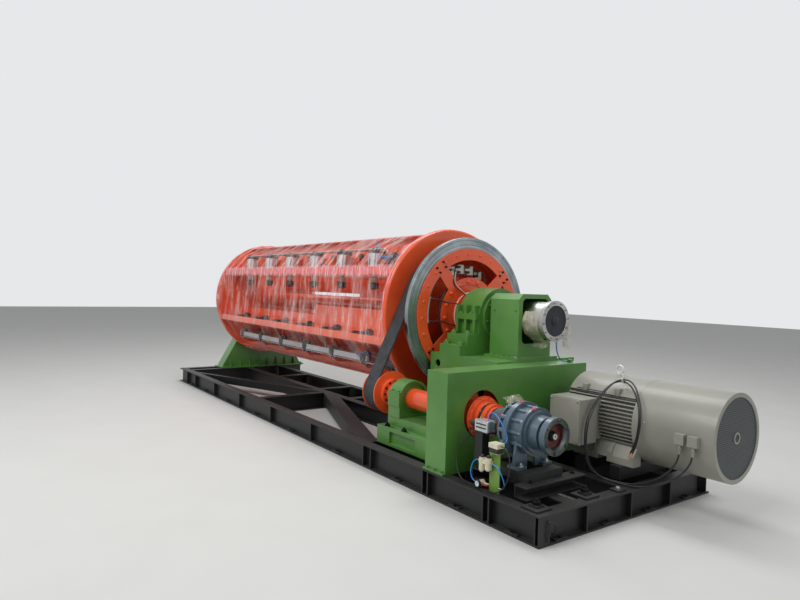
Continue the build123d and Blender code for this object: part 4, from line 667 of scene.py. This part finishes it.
# each piece has its finish, slot and body, and groups of a form, its spots and the axis it points along
anchors = {"x": (-2155, -1560, -672, 265, 1230, 2215, 3195, 3930, 4495), "y": -1261, "endX": 4717,
           "endY": (-1060, -562, -66, 440), "half": (58, 19), "low": 11.5, "top": 21}
spokes = {"x": 2637, "turns": (50, 140, 230, 320), "spread": 4.5, "radii": (570, 628)}
spokeTurns = [turn + side * spokes["spread"] for turn in spokes["turns"] for side in (-1, 1)]
green, paint = ("greenEnamel", "green_paint", "frame"), ("orangeEnamel", "orange_paint")
fasteners = {
    "housing_bolts": (*green,
        (studNut(30), [(x, side * y, z) for x in (2830, 3020) for side in (-1, 1)
                       for y, z in ((455, 1075), (366, 1170))]),
        (bolt(20), everySpot((2842, 2988), (-295, 295), (1363,)))),
    "housing_cover_screws": (*green, (capScrew(12), ringSpots(3092, radius=196, count=8, start=0.2), alongX)),
    "end_plate_bolts": (*paint, "cage",
        (bolt(20), ringSpots(spokes["x"], radius=328, count=16, start=0.1), alongX),
        (bolt(12), ringSpots(spokes["x"], radius=606, count=24, start=0.06), alongX)),
    "spoke_bolts": ("blackOxide", "pintle_steel", "cage",
        *((capScrew(14), arcSpots(spokes["x"], radius, spokeTurns), alongX) for radius in spokes["radii"])),
    "slip_ring_screws": ("zincPlate", "slip_ring_steel", "frame",
        (capScrew(10), ringSpots(3740, radius=156, count=12, start=0.13), alongX)),
    "pulley_hub_screws": ("blackOxide", "pintle_steel", "drive_shaft",
        (capScrew(12), ringSpots(2620, radius=110, count=12, **shaftLine), alongX)),
    "clutch_screws": (*paint, "drive_shaft",
        *((capScrew(10), ringSpots(x, radius, count=10, **shaftLine), alongX)
          for x, radius in ((3818, 157), (3872, 114)))),
    "reducer_bolts": ("zincPlate", "reducer_grey", "frame",
        *((bolt(16), ringSpots(x, radius, count=12, **shaftLine), alongX)
          for x, radius in ((4206, 176), (4334, 162), (4484, 114))),
        (studNut(20), everySpot((4268, 4332), (-1021, -761), (372,)))),
    "shaft_bearing_bolts": (*green, (bolt(18), everySpot((2796, 2886), (-1043, -739), (669,)))),
    "slide_nuts": ("blackOxide", "pintle_steel", "frame",
                   (studNut(24), everySpot((2790, 3040), (-1081, -701), (357,)))),
    "guard_box_bolts": (*green, (bolt(12), everySpot((3590, 3674, 3758), (-1263,), (214,)))),
    "motor_foot_bolts": ("zincPlate", "motor_grey", "frame",
                         (studNut(20), everySpot((4150, 4463), (-84, 424), (322,)))),
    "terminal_box_screws": ("zincPlate", "motor_grey", "frame",
        (capScrew(8), everySpot((4050, 4302), (-388.4,), (450, 759)), towardsAisle)),
    "skirt_bolts": ("zincPlate", "motor_grey", "frame",
                    (bolt(14), everySpot((4105, 4145), (-151.5,), (372,)), towardsAisle)),
    "clamp_plate_nuts": ("blackOxide", "black_base", "frame", (studNut(30), ((4625, -1185, 230), (4630, -705, 230)))),
    "tail_plate_bolts": (*green, (bolt(24), everySpot((-2420,), (-680, 680), (220,)))),
    "ring_box_screws": (*green, (capScrew(9), ((3208, -210.4, 1406), (3466, -210.4, 1411)), towardsAisle)),
    "ring_box_nuts": (*green, (bolt(12), everySpot((3210, 3334, 3395, 3480), (-226.4,), (1001.8,)))),
    "ring_plate_bolt": ("zincPlate", "slip_ring_steel", "frame", (bolt(16), (3512, -246, 1002))),
    "input_rim_bolts": ("forgedSteel", "pintle_steel", "frame",
        (bolt(13), ringSpots(4531, radius=114, count=6, start=0.4, **shaftLine), alongX)),
    "shift_cylinder_screws": ("zincPlate", "cylinder_aluminium", "frame",
        (capScrew(7), everySpot((4092.3,), (-1112, -1052), (576, 636)), alongX)),
    "anchor_bolts": ("blackOxide", "black_base", "frame",
        (bolt(13), everySpot(anchors["x"], (anchors["y"],), (20.5,))
         + everySpot((anchors["endX"],), anchors["endY"], (20.5,))),
        (studNut(17), ((4437, -1042, 290), (4437, -599, 290), (4000, -1100, 290)))),
    "bright_bolt": ("zincPlate", "black_base", "frame", (bolt(18), (4679, -400, 213))),
}
for name, (material, slot, body, *groups) in fasteners.items():
    makePiece(name, joined(*(placed(*group) for group in groups)), material, slot, body)
print("fasteners on")

# covers, caps, screws, tie rods, brackets and sleeves of the clamp cylinders, in the bay's own axes: x along the
# cage, y across the bay towards its far wall, z out from the cage axis
clampTrim = {"places": (-1700, -1020, -340, 340, 1020, 1700), "z": 570, "half": 77, "edge": 7, "corner": 34,
             "outer": (560, 592.8), "inner": (327.4, 347), "capZ": 560, "capRadius": 58, "capTop": 621, "capEdge": 5,
             "rodAt": 57, "rodRadius": 7, "screw": 12, "bracketHalf": 92, "bracketZ": (622, 742),
             "bracketY": (-314.8, -299), "ribs": (645, 680, 715), "ribY": -296, "ribHalf": 84, "ribRadius": 9,
             "sleeveMiddle": 273, "sleeve": ((245, 40.3), (245, 43), (249, 45), (262, 45), (265, 43.4))}
bayTilt, alongY = film["bayTilt"], (0, 1, 0)


def bayForm(form, k):
    # turns the bay's axes about X by the bay's angle: out is (0, -cos a, sin a), across is (0, sin a, cos a)
    points, faces = form
    a = np.radians(bayTilt + 90 * k)
    axes = np.array([[1, 0, 0], [0, np.sin(a), np.cos(a)], [0, -np.cos(a), np.sin(a)]])
    return points @ axes + (0, 0, cageHeight), faces


def allBays(*forms):
    # the forms of one bay, in all four
    return joined(*(bayForm(form, k) for form in forms for k in range(4)))


def uprightForm(form):
    # stands a plate that was drawn flat on its edge: x stays, y becomes z and z becomes y
    points, faces = form
    return points[:, [0, 2, 1]], faces


look = clampTrim
places, z, (coverFoot, coverTop) = look["places"], look["z"], look["outer"]
plates = [uprightForm(boxForm(around(x, look["half"]), around(z, look["half"]), side, look["edge"], look["corner"]))
          for x in places for side in (look["outer"], look["inner"])]
caps = placed(turnedForm(stubProfile(coverTop - 1, look["capTop"], look["capRadius"], look["capEdge"]), 28),
              [(x, 0, look["capZ"]) for x in places], alongY)
makePiece("cylinder_covers", allBays(*plates, caps), "glassFilledBlack", "pintle_steel", "cage")
corners = np.array([(x + i * look["rodAt"], 0, z + j * look["rodAt"])
                    for x in places for i in (-1, 1) for j in (-1, 1)])
low, high = look["inner"][1] - 1, coverFoot + 1
rod = turnedForm([(low, 0), (low, look["rodRadius"]), (high, look["rodRadius"]), (high, 0)], 8)
makePiece("cylinder_tie_rods", allBays(placed(rod, corners, alongY)), "chromedRod", "cylinder_aluminium", "cage")
heads = placed(capScrew(look["screw"]), corners + (0, coverTop - 0.5, 0), alongY)
makePiece("cylinder_screws", allBays(heads), "zincPlate", "cylinder_aluminium", "cage")
brackets = [uprightForm(boxForm(around(x, look["bracketHalf"]), look["bracketZ"], look["bracketY"], 5, 12))
            for x in places]
brackets += [tubeForm([(end, look["ribY"], rib) for end in around(x, look["ribHalf"])], look["ribRadius"], 10)
             for x in places for rib in look["ribs"]]
makePiece("pintle_lock_brackets", allBays(*brackets), "blackOxide", "pintle_steel", "cage")
half = look["sleeve"]
mirrored = [(2 * look["sleeveMiddle"] - height, radius) for height, radius in half[::-1]]
sleeve = turnedForm([*half, *mirrored, half[0]], 24)
sleeves = placed(sleeve, [(x, 0, z) for x in places], alongY)
for k in range(4):
    makePiece(f"pintle_sleeves_{k + 1}", bayForm(sleeves, k), "mouldedCream", "cream_plastic", f"clamp_row_{k + 1}")

# air supply of the clamp cylinders: one straight steel pipe along each row, held in a clip at every cover,
# and the valve block on its legs by the drive disc, with a fitting on each valve
airTrim = {"pipe": ((-1740, 601, 614), (1900, 601, 614), (1940, 586, 608), (1960, 556, 596), (1960, 536, 592)),
           "radius": 8, "clipY": (590, 612), "clip": 11, "block": ((1930, 2150), (470, 540), (560, 620)),
           "legs": (1990, 2090), "legY": (327.2, 471), "legZ": (575, 612), "ports": (1962, 2001, 2040, 2079, 2118),
           "valveY": (484, 526), "valveZ": (619, 660),
           "fitting": ((0, 0), (0, 11), (14, 11), (16, 8), (30, 8), (30, 0)),
           "collar": ((-0.5, 0), (-0.5, 13), (6, 13), (6, 0))}
look = airTrim
makePiece("air_pipes", allBays(tubeForm(look["pipe"], look["radius"])), "zincPlate", "cylinder_aluminium", "cage")
clips = [boxForm(around(x, 14), look["clipY"], around(look["pipe"][0][2], look["clip"]), 3) for x in places]
legs = [boxForm(around(x, 8), look["legY"], look["legZ"], 2) for x in look["legs"]]
valves = [boxForm(around(x, 15), look["valveY"], look["valveZ"], 4, 6) for x in look["ports"]]
makePiece("air_manifolds", allBays(boxForm(*look["block"], 6), *legs, *valves, *clips), "glassFilledBlack",
          "pintle_steel", "cage")
ports = [(x, sum(look["valveY"]) / 2, look["valveZ"][1]) for x in look["ports"]]
for name, profile, material, slot in (("air_fittings", look["fitting"], "polyurethaneBlue", "hose_blue"),
                                      ("air_fitting_collars", look["collar"], "nylonGear", "module_plastic")):
    makePiece(name, allBays(placed(turnedForm(profile, 12), ports)), material, slot, "cage")
print("clamp rows dressed")

# what shows in the windows of the end plate: x, radii and angles up from the aisle side
windowTrim = {"duct": ((2540, 2618), (514, 542), (-9, 19)), "strip": ((2544, 2614), (516, 541), (20, 40)),
              "flangeHose": (2606, 376, (-34, 62)), "lowHose": (2590, 508, (-44, -24)), "hoseRadii": (8, 15),
              "modules": (2510, 455, (66, 82, 98, 114)), "plug": (26, 12), "plugX": (2509, 2524), "plugStep": 26,
              "coverX": (2509, 2515), "coverY": (-30, 12), "coverZ": 9}


def arcBox(xs, radii, ends, count=20):
    # a rectangle carried along an arc about the cage axis, with closed ends
    (x0, x1), (inner, outer) = xs, radii
    points = arcSpots(np.array([x0, x0, x1, x1]), np.array([inner, outer, outer, inner]),
                      np.linspace(*ends, count)[:, None])
    ends = points[[0, -1]].mean(1, keepdims=True) + 0 * points[[0, -1]]
    return np.concatenate([ends[:1], points, ends[1:]]).reshape(-1, 3), gridFaces(count + 2, 4)


look = windowTrim
makePiece("window_duct", arcBox(*look["duct"]), "mouldedGrey", "module_plastic", "cage")
makePiece("window_strip", arcBox(*look["strip"]), "glassFilledBlack", "cable_black", "cage")
flangePath, lowPath = (arcSpots(x, radius, np.linspace(*ends, 24))
                       for x, radius, ends in (look["flangeHose"], look["lowHose"]))
flangeRadius, lowRadius = look["hoseRadii"]
ribbed = lowRadius * (1 + 0.08 * np.sin(np.arange(24) * 2.1))
makePiece("window_harness", joined(tubeForm(flangePath, flangeRadius, 10), tubeForm(lowPath, ribbed)), "pvcSheathBlack",
          "cable_black", "cage")
plugs, covers = [], []
for x, y, z in arcSpots(*look["modules"]):
    plugs += [boxForm(look["plugX"], around(y, look["plug"][0]), around(z + step, look["plug"][1]), 3)
              for step in around(0, look["plugStep"])]
    covers.append(boxForm(look["coverX"], [y + side for side in look["coverY"]], around(z, look["coverZ"]), 2))
makePiece("module_plugs", joined(*plugs), "glassFilledBlack", "cable_black", "cage")
makePiece("module_covers", joined(*covers), "nylonGear", "module_plastic", "cage")
print("windows dressed")


def crumpledSheet(corners, drop, seed, rows=40, columns=30):
    # a four-cornered patch, pushed along its own normal by six sines of both parameters with folds that sharpen
    # where they cross; drop is how far the folds reach
    a, b, c, d = np.array(corners, float)
    s, t = np.meshgrid(np.linspace(0, 1, rows), np.linspace(0, 1, columns), indexing="ij")
    s, t = s[..., None], t[..., None]
    base = a * (1 - s) * (1 - t) + b * s * (1 - t) + c * s * t + d * (1 - s) * t
    normal = np.cross(b - a, d - a)
    normal /= np.linalg.norm(normal)
    rng = np.random.default_rng(seed)
    wave = sum(np.abs(np.sin(s * rng.uniform(2, 9) + t * rng.uniform(2, 9) + rng.uniform(0, 6))) ** 0.7
               for _ in range(6)) / 6
    rim = 0.35 + np.sin(np.pi * s) * np.sin(np.pi * t)
    edgeWave = 0.07 * np.sin(s * 17 + 2) * (b - a) * (t > 0.96) + 0.06 * np.sin(t * 13) * (d - a) * (s > 0.97)
    return base + normal * drop * (wave - 0.35) * rim + edgeWave


def wrapSheet(look, rows=90, columns=46):
    # a cylinder's patch about the slip ring, lifted by folds that run round it, with its lower edge hanging down
    s, t = np.meshgrid(np.linspace(0, 1, rows), np.linspace(0, 1, columns), indexing="ij")
    rng = np.random.default_rng(look["seed"])
    fold = sum(np.abs(np.sin(s * rng.uniform(3, 22) + t * rng.uniform(6, 30) + rng.uniform(0, 6))) ** 0.6
               for _ in range(9)) / 9
    turn = np.radians(look["start"] + (look["end"] - look["start"]) * np.minimum(s / look["share"], 1))
    below = np.maximum(s / look["share"] - 1, 0) * look["hang"] * (0.55 + 0.45 * np.sin(np.pi * t * 0.9 + 0.3))
    radius = look["radius"] + 2.5 + look["lift"] * fold * np.minimum(1, 5 * s) * (0.5 + s)
    first, last = look["x"]
    x = first + (last - first) * (t + 0.03 * np.sin(9 * s + 2)) * (1 - 0.25 * np.maximum(s - 0.7, 0))
    y = -radius * np.cos(turn) + 14 * np.sin(7 * t + 5 * s) * np.maximum(s - look["share"], 0) * 4
    z = cageHeight + radius * np.sin(turn) - below
    return np.stack([x, y, z], -1)


def laySheet(name, grid):
    # the sheet as a piece of packing film
    rows, columns = grid.shape[:2]
    form = grid.reshape(-1, 3), gridFaces(rows, columns, False)
    piece = makePiece(name, form, "packingFilm", angle=180, closed=False)


slipWrap = {"seed": 5, "start": 28, "end": -86, "share": 0.72, "hang": 165, "radius": 160, "lift": 24,
            "x": (3512, 3690)}
slipFlap = {"corners": ((3694, 140, 1240), (3698, 146, 1100), (3750, 186, 1088), (3746, 190, 1300)),
            "drop": 26, "seed": 3}
scraps = (
    {"corners": ((4060, -947, 802), (4128, -905, 752), (4198, -831, 770), (4150, -868, 838)), "seed": 11},
    {"corners": ((4085, -935, 772), (4130, -915, 750), (4170, -862, 806), (4104, -898, 826)), "seed": 4})
laySheet("slip_ring_wrap", wrapSheet(slipWrap))
laySheet("slip_ring_flap", crumpledSheet(**slipFlap))
for i, look in enumerate(scraps):
    laySheet(f"reducer_wrap_{i + 1}", crumpledSheet(**look, drop=22, rows=26, columns=20))
print("packing film laid")

# turned parts: profile of (height, radius), sides, place, axis, then finish, slot and body; the heights are x for
# what lies on the cage's, the shaft's, the shift rod's or the motor's axis: the tube round the collar, the slip
# ring's dark sunk face, the input flange with rim, bowl, hub and shaft end, the band of the clutch, the port and
# the boot of the shift cylinder, the dial, and the ring of the motor's grille
onCage = ((0, 0, cageHeight), alongX)
onShaft = ((0, shaftLine["y"], shaftLine["z"]), alongX)
onMotor = ((0, motorLine["y"], motorLine["z"]), alongX)
shiftTrim = {"x": (3962, 4092), "y": -1082, "z": 606, "half": 40.8, "cap": 13, "lap": 0.6, "groove": 13,
             "grooveY": 40.2, "rod": (3893, 3961.6, 11.4), "boot": (3895, 24, 4)}
dial = ((4130, -1237, 235), towardsAisle)
x, thick, radius = 2662, 6, 222
collarTube = [(x + thick * np.cos(turn), radius + thick * np.sin(turn)) for turn in (*np.arange(12) * np.pi / 6, 0)]
ringFace = [(3731.6, 0), (3731.6, 134.6), (3733.6, 134.6), (3734, 132.6),
            *((3734 + 0.35 * np.sin(r * 0.55), r) for r in np.arange(130, 46, -3)),
            (3733.8, 43.4), (3737.2, 43.4), (3738.2, 41.9), (3738.2, 0)]
rodStart, rodEnd, rodRadius = shiftTrim["rod"]
x, radius, pitch = shiftTrim["boot"]
rodBoot = [(rodStart, rodRadius), *((x + pitch * i, radius + (1.5 if i % 2 else -1)) for i in range(16)),
           (rodEnd, rodRadius), (rodStart, rodRadius)]
turnedTrim = {
    "collar_tube": (collarTube, 64, *onCage, "whiteTape", "module_plastic", "cage"),
    "slip_ring_face": (ringFace, 72, *onCage, "sealedBlue", "slip_ring_steel", "frame"),
    "input_rim": (((4508, 80), (4530.9, 95), (4531.2, 97), (4531.2, 129.5), (4530.6, 131.5), (4529.5, 131.5),
                   (4529.5, 96), (4508, 80)), 64, *onShaft, "machinedIron", "reducer_grey", "frame"),
    "input_bowl": (((4508, 80.5), (4507, 79), (4487, 79), (4481, 73), (4481, 0)), 56, *onShaft, "redPrimer",
                   "reducer_grey", "frame", 38, False),
    "input_hub": (stubProfile(4480.5, 4493, 36, 2), 36, *onShaft, "blackOxide", "pintle_steel", "frame"),
    "input_shaft": (((4481, 0), (4481, 22.6), (4514, 22.6), (4517, 19.6), (4517, 8), (4512, 5), (4512, 0)), 32,
                    *onShaft, "chromedRod", "cylinder_aluminium", "frame"),
    "clutch_band": (((3873, 104), (3873, 119), (3894, 119), (3896, 117), (3896, 104), (3873, 104)), 48, *onShaft,
                    "glassFilledBlack", "orange_paint", "drive_shaft"),
    "shift_cylinder_ports": (((0, 0), (0, 9), (8, 9), (9, 7), (20, 7), (21, 5), (21, 0)), 14, (3984, -1082, 645.5),
                             (0, 0, 1), "nickelledBrass", "cylinder_aluminium", "frame"),
    "shift_rod_boot": (rodBoot, 28, (0, shiftTrim["y"], shiftTrim["z"]), alongX, "glassFilledBlack", "pintle_steel",
                       "frame"),
    "dial_rim": (((-12, 0), (-12, 25), (6, 26), (8, 24), (8, 21), (4, 20.6), (4, 0)), 32, *dial, "glassFilledBlack",
                 "pintle_steel", "frame"),
    "dial_face": (((3.6, 0), (3.6, 20.4), (4.8, 20.2), (4.8, 0)), 32, *dial, "dialWhite", "cream_plastic", "frame"),
    "grille_ring": (((5208.4, 27.4), (5213.9, 28.2), (5213.9, 41.8), (5208.4, 42.6), (5208.4, 27.4)), 40, *onMotor,
                    "motorEnamel", "motor_grey", "frame"),
}
for name, (profile, sides, place, axis, *rest) in turnedTrim.items():
    makePiece(name, placed(turnedForm(profile, sides), place, axis), *rest)

# the key of the input shaft, and the reducer's plastic caps: x, angle up from the aisle side, and radius
makePiece("input_key", boxForm((4487, 4515), (-894.5, -887.5), (622.6, 630.1), 1), "blackOxide", "pintle_steel")
caps = []
for x, degrees, radius in ((4242, 78, 196), (4362, 74, 172)):
    away = np.array([0, -np.cos(np.radians(degrees)), np.sin(np.radians(degrees))])
    cap = turnedForm([(-2, 0), (-2, 13), (7, 13), (11, 10), (12, 0)], 16)
    caps.append(placed(cap, away * radius + (x, *shaftLine.values()), away))
makePiece("reducer_caps", joined(*caps), "pinkCap", "cable_black")

# shift cylinder: end caps, and the grooves along its body drawn as thin black strips, which are painted shade of the
# grooves
look = shiftTrim
(x0, x1), y, z, cap, lap = (look[key] for key in ("x", "y", "z", "cap", "lap"))
endCaps = [boxForm((x, x + cap), around(y, look["half"]), around(z, look["half"]), 3)
           for x in (x0 - lap, x1 + lap - cap)]
makePiece("shift_cylinder_caps", joined(*endCaps), "anodisedAluminium", "cylinder_aluminium")
strips = [boxForm((x0 + cap, x1 - cap), around(side, 1.1), around(z + rise, 5), 0.8)
          for side in around(y, look["grooveY"]) for rise in (look["groove"], -look["groove"])]
makePiece("shift_cylinder_grooves", joined(*strips), "glassFilledBlack", "pintle_steel")

# air unit: solenoid neck, ribs, knobs and bowls of the regulators (x, radius, foot and top), dial hand and fittings
airUnit = {"neck": ((4224.5, 4299.5), (-1226.5, -1161.5), (474.2, 511.6)), "y": -1217,
           "filters": ((4150, 20, 332, 424), (4214, 24, 350, 432)), "endRadius": 8,
           "ends": (((4112, -1217, 235), (-22, 0)), ((4291, -1188, 236), (22, 0)), ((4136, -1217, 398), (-20, 0)),
                    ((4236, -1217, 398), (20, 0)), ((4268, -1160, 528), (0, 12))),
           "link": ((4152, -1216, 236), (4170, -1214, 232), (4188, -1208, 232), (4202, -1200, 236))}
look = airUnit
makePiece("valve_solenoid", boxForm(*look["neck"], 5), "glassFilledBlack", "pintle_steel")
ribs, knobs, bowls = [], [], []
for x, radius, low, high in look["filters"]:
    rings = [(low + 6 + 8 * i + rise, radius + (2.6 if 2 <= rise <= 5 else 0.5))
             for i in range(int((high - low - 12) // 8)) for rise in (0, 2, 5, 7)]
    knob = [(high - 2, 0), (high - 2, radius * 0.72), (high + 16, radius * 0.66), (high + 18, radius * 0.5),
            (high + 18, 0)]
    bowl = [(low - 12, 0), (low - 12, radius * 0.5), (low - 8, radius * 0.8), (low + 3, radius * 0.85), (low + 3, 0)]
    for forms, profile, sides in ((ribs, [(rings[0][0], 0), *rings, (rings[-1][0], 0)], 24), (knobs, knob, 18),
                                  (bowls, bowl, 20)):
        forms.append(placed(turnedForm(profile, sides), (x, look["y"], 0)))
makePiece("filter_ribs", joined(*ribs), "mouldedCream", "cream_plastic")
makePiece("filter_knobs", joined(*knobs), "glassFilledBlack", "pintle_steel")
makePiece("filter_bowls", joined(*bowls), "zincPlate", "cylinder_aluminium")
hand = joined(boxForm((-1, 1), (-3, 15), (4.6, 5.8), 0.4), turnedForm([(4.6, 0), (4.6, 3), (6.2, 3), (6.2, 0)], 10))
makePiece("dial_hand", placed(hand, *dial), "glassFilledBlack", "pintle_steel")
ends = [tubeForm([start, np.add(start, (*way, 0))], look["endRadius"], 14) for start, way in look["ends"]]
makePiece("air_hose_ends", joined(*ends), "nickelledBrass", "cylinder_aluminium")
makePiece("red_link", tubeForm(look["link"], 7), "redRubber", "cable_black")
print("drive line dressed")

# motor: lifting eye, lugs and slots on the saddle, cowl screws, lid of the terminal box, glands, foot pads, cable tie
motorTrim = {"eye": (4272, 170, 974), "eyeRing": (31, 8.5),
             "shank": ((930, 0), (930, 22), (940, 22), (942, 15), (946, 13), (948, 0)),
             "lugs": ((4112, 4154), (4408, 4450)), "lugYZ": ((-92, -45), (802, 860)), "skin": 317,
             "slots": ((4046, 4330, 39), (4046, 4596, 34.5)), "slot": ((-6, 6), (-3, 1.4)), "cowlX": 4700,
             "cowlTurns": (-46, 8, 226, 172), "cowlScrew": ((-1, 0), (-1, 7), (2, 7), (4, 4.5), (4.5, 0)),
             "lid": ((4035, 4317), (-388.6, -379.8), (435, 774)), "glands": ((4993, -172, 0), (5087, -172, 0)),
             "gland": ((514, 0), (514, 8), (520, 10.6), (524, 12.4), (536, 12.4), (538, 14), (546, 14), (546.2, 0)),
             "glandLip": ((500, 6.4), (500, 7.6), (516, 8.6), (516, 6.4), (500, 6.4)),
             "pads": (4150, 4463), "padYZ": ((-116, -56), (319.5, 322.5)),
             "strap": ((4272, 170, 957), (4350, 82, 957), (4444, -32, 945)), "knot": (4444, -38.5, 921.5, 24, 11)}
look = motorTrim
turn = np.linspace(0, 2 * np.pi, 33)
x, y, z = look["eye"]
radius, thick = look["eyeRing"]
eyeRing = tubeForm(np.stack([x + radius * np.sin(turn), y + 0 * turn, z - radius * np.cos(turn)], -1), thick, 12, False)
makePiece("lifting_eye", joined(eyeRing, placed(turnedForm(look["shank"], 24), (x, y, 0))), "whiteGloss", "motor_grey")
makePiece("saddle_lugs", joined(*(boxForm(xs, *look["lugYZ"], 3) for xs in look["lugs"])), "motorEnamel", "motor_grey")


def onSkin(form, x, degrees):
    # stands the form on the motor's round skin, at an angle up from the aisle side
    away = np.array([0, -np.cos(np.radians(degrees)), np.sin(np.radians(degrees))])
    return placed(form, away * look["skin"] + (x, *motorLine.values()), away)


# the saddle's slots are drawn as thin black strips on the skin: painted shade of the slots
slots = [onSkin(boxForm((0, x1 - x0), *look["slot"], 1.5), x0, degrees) for x0, x1, degrees in look["slots"]]
makePiece("saddle_slots", joined(*slots), "glassFilledBlack", "pintle_steel")
screws = [onSkin(turnedForm(look["cowlScrew"], 12), look["cowlX"], degrees) for degrees in look["cowlTurns"]]
makePiece("cowl_screws", joined(*screws), "zincPlate", "motor_grey")
makePiece("terminal_box_lid", boxForm(*look["lid"], 3.5), "motorEnamel", "motor_grey")
gland = joined(turnedForm(look["gland"], 6), turnedForm(look["glandLip"], 16))
makePiece("cable_glands", placed(gland, look["glands"]), "motorEnamel", "motor_grey")
makePiece("foot_pads", joined(*(boxForm(around(x, 34), *look["padYZ"], 1.4, 12) for x in look["pads"])),
          "glassFilledBlack", "pintle_steel")
# the knot is an ellipse round both cables, upright across them
x, y, z, long, short = look["knot"]
along, across = long * np.cos(turn), short * np.sin(turn)
knot = np.stack([x + 0 * turn, y - 0.67 * along + 0.74 * across, z + 0.74 * along + 0.67 * across], -1)
tie = [tubeForm(look["strap"], 3, 8)] + [tubeForm(knot + (shift, 0, 0), 3.4, 8, False) for shift in (-4, 2, 8)]
makePiece("cable_tie", joined(*tie), "whiteTape", "motor_grey")
print("motor dressed")

# base: anchor plates between the stiffeners, a bent pin on the front corner, and a small plate under the bright bolt
baseTrim = {"pins": (
    ((4736, -1204, 158), (4752, -1202, 158), (4764, -1190, 155), (4770, -1168, 146), (4771, -1148, 134)),
    ((4752, -1203, 156), (4757, -1206, 128), (4755, -1209, 96), (4751, -1210, 62), (4748, -1210, 30)),
    ((4770, -1166, 144), (4772, -1160, 118), (4764, -1158, 92), (4750, -1158, 74), (4738, -1160, 66))),
    "pinRadius": 5, "plate": ((4640, 4718), (-446, -355), (199.5, 213))}
(long, wide), level = anchors["half"], (anchors["low"], anchors["top"])
plates = [boxForm(around(x, long), around(anchors["y"], wide), level, 2) for x in anchors["x"]]
plates += [boxForm(around(anchors["endX"], wide), around(y, long), level, 2) for y in anchors["endY"]]
plates += [tubeForm(path, baseTrim["pinRadius"], 10) for path in baseTrim["pins"]]
plates.append(boxForm(*baseTrim["plate"], 2))
makePiece("anchor_plates", joined(*plates), "blackEnamel", "black_base")
print("base dressed")

studio = {"floor": "#CFCFCC", "cloud": "#C4C4C0", "wall": "#E6E8EA", "size": 60}


def plainFloor(name, look):
    # matt paint on a level floor, with a faint cloudiness half a metre across
    material, add, place = startMaterial(name)
    cloud = add("TexNoise", {"Scale": 2, "Detail": 4}, {"Vector": place})
    share = add("MapRange", {1: 0.3, 2: 0.7, 4: 0.25}, {0: cloud})
    tone = add("Mix", {"data_type": "RGBA", 6: linearColour(look["floor"]), 7: linearColour(look["cloud"])}, {0: share})
    return endMaterial(material, {"IOR": 1.45, "Roughness": 0.75}, {"Base Color": tone.outputs[2]})


half = studio["size"] / 2
floorMesh = bpy.data.meshes.new("floor")
floorMesh.from_pydata([(-half, -half, 0), (half, -half, 0), (half, half, 0), (-half, half, 0)], [], [(0, 1, 2, 3)])
floorMesh.materials.append(plainFloor("floorPaint", studio))
floor = bpy.data.objects.new("floor", floorMesh)
bpy.context.scene.collection.objects.link(floor)

lamps = {
    "keyLamp": {"place": (3.0, -7.0, 7.5), "aim": (1.5, 0, 0.8), "size": (7, 4), "power": 500},
    "topLamp": {"place": (0.5, 1.5, 8.5), "aim": (0.5, 0, 0.5), "size": (9, 3), "power": 380},
    "endLamp": {"place": (10.5, 1.0, 4.5), "aim": (3.5, 0, 0.8), "size": (4, 4), "power": 90},
}
for name, look in lamps.items():
    lampData = bpy.data.lights.new(name, "AREA")
    lampData.shape = "RECTANGLE"
    lampData.size, lampData.size_y = look["size"]
    lampData.energy = look["power"]
    lamp = bpy.data.objects.new(name, lampData)
    bpy.context.scene.collection.objects.link(lamp)
    back = np.subtract(look["place"], look["aim"])
    back = back / np.linalg.norm(back)
    side = np.cross((0, 1, 0) if abs(back[2]) > 0.95 else (0, 0, 1), back)
    side = side / np.linalg.norm(side)
    lamp.matrix_world = turnedMatrix(side, np.cross(back, side), back, look["place"])

world = bpy.data.worlds.new("studio")
bpy.context.scene.world = world
world.use_nodes = True
world.node_tree.nodes.clear()
add = partial(addNode, world.node_tree)
ray = add("LightPath").outputs
clear = add("Math", {"operation": "MAXIMUM"}, {0: ray["Is Glossy Ray"], 1: ray["Is Transmission Ray"]})
seen = add("Math", {"operation": "MAXIMUM"}, {0: ray["Is Camera Ray"], 1: clear})
strength = add("MapRange", {3: 0.42, 4: 1.0}, {0: seen})
sky = add("Background", {"Color": linearColour(studio["wall"])}, {"Strength": strength})
add("OutputWorld", None, {"Surface": sky})
bpy.context.scene.view_settings.view_transform = "Standard"
print("studio lit")
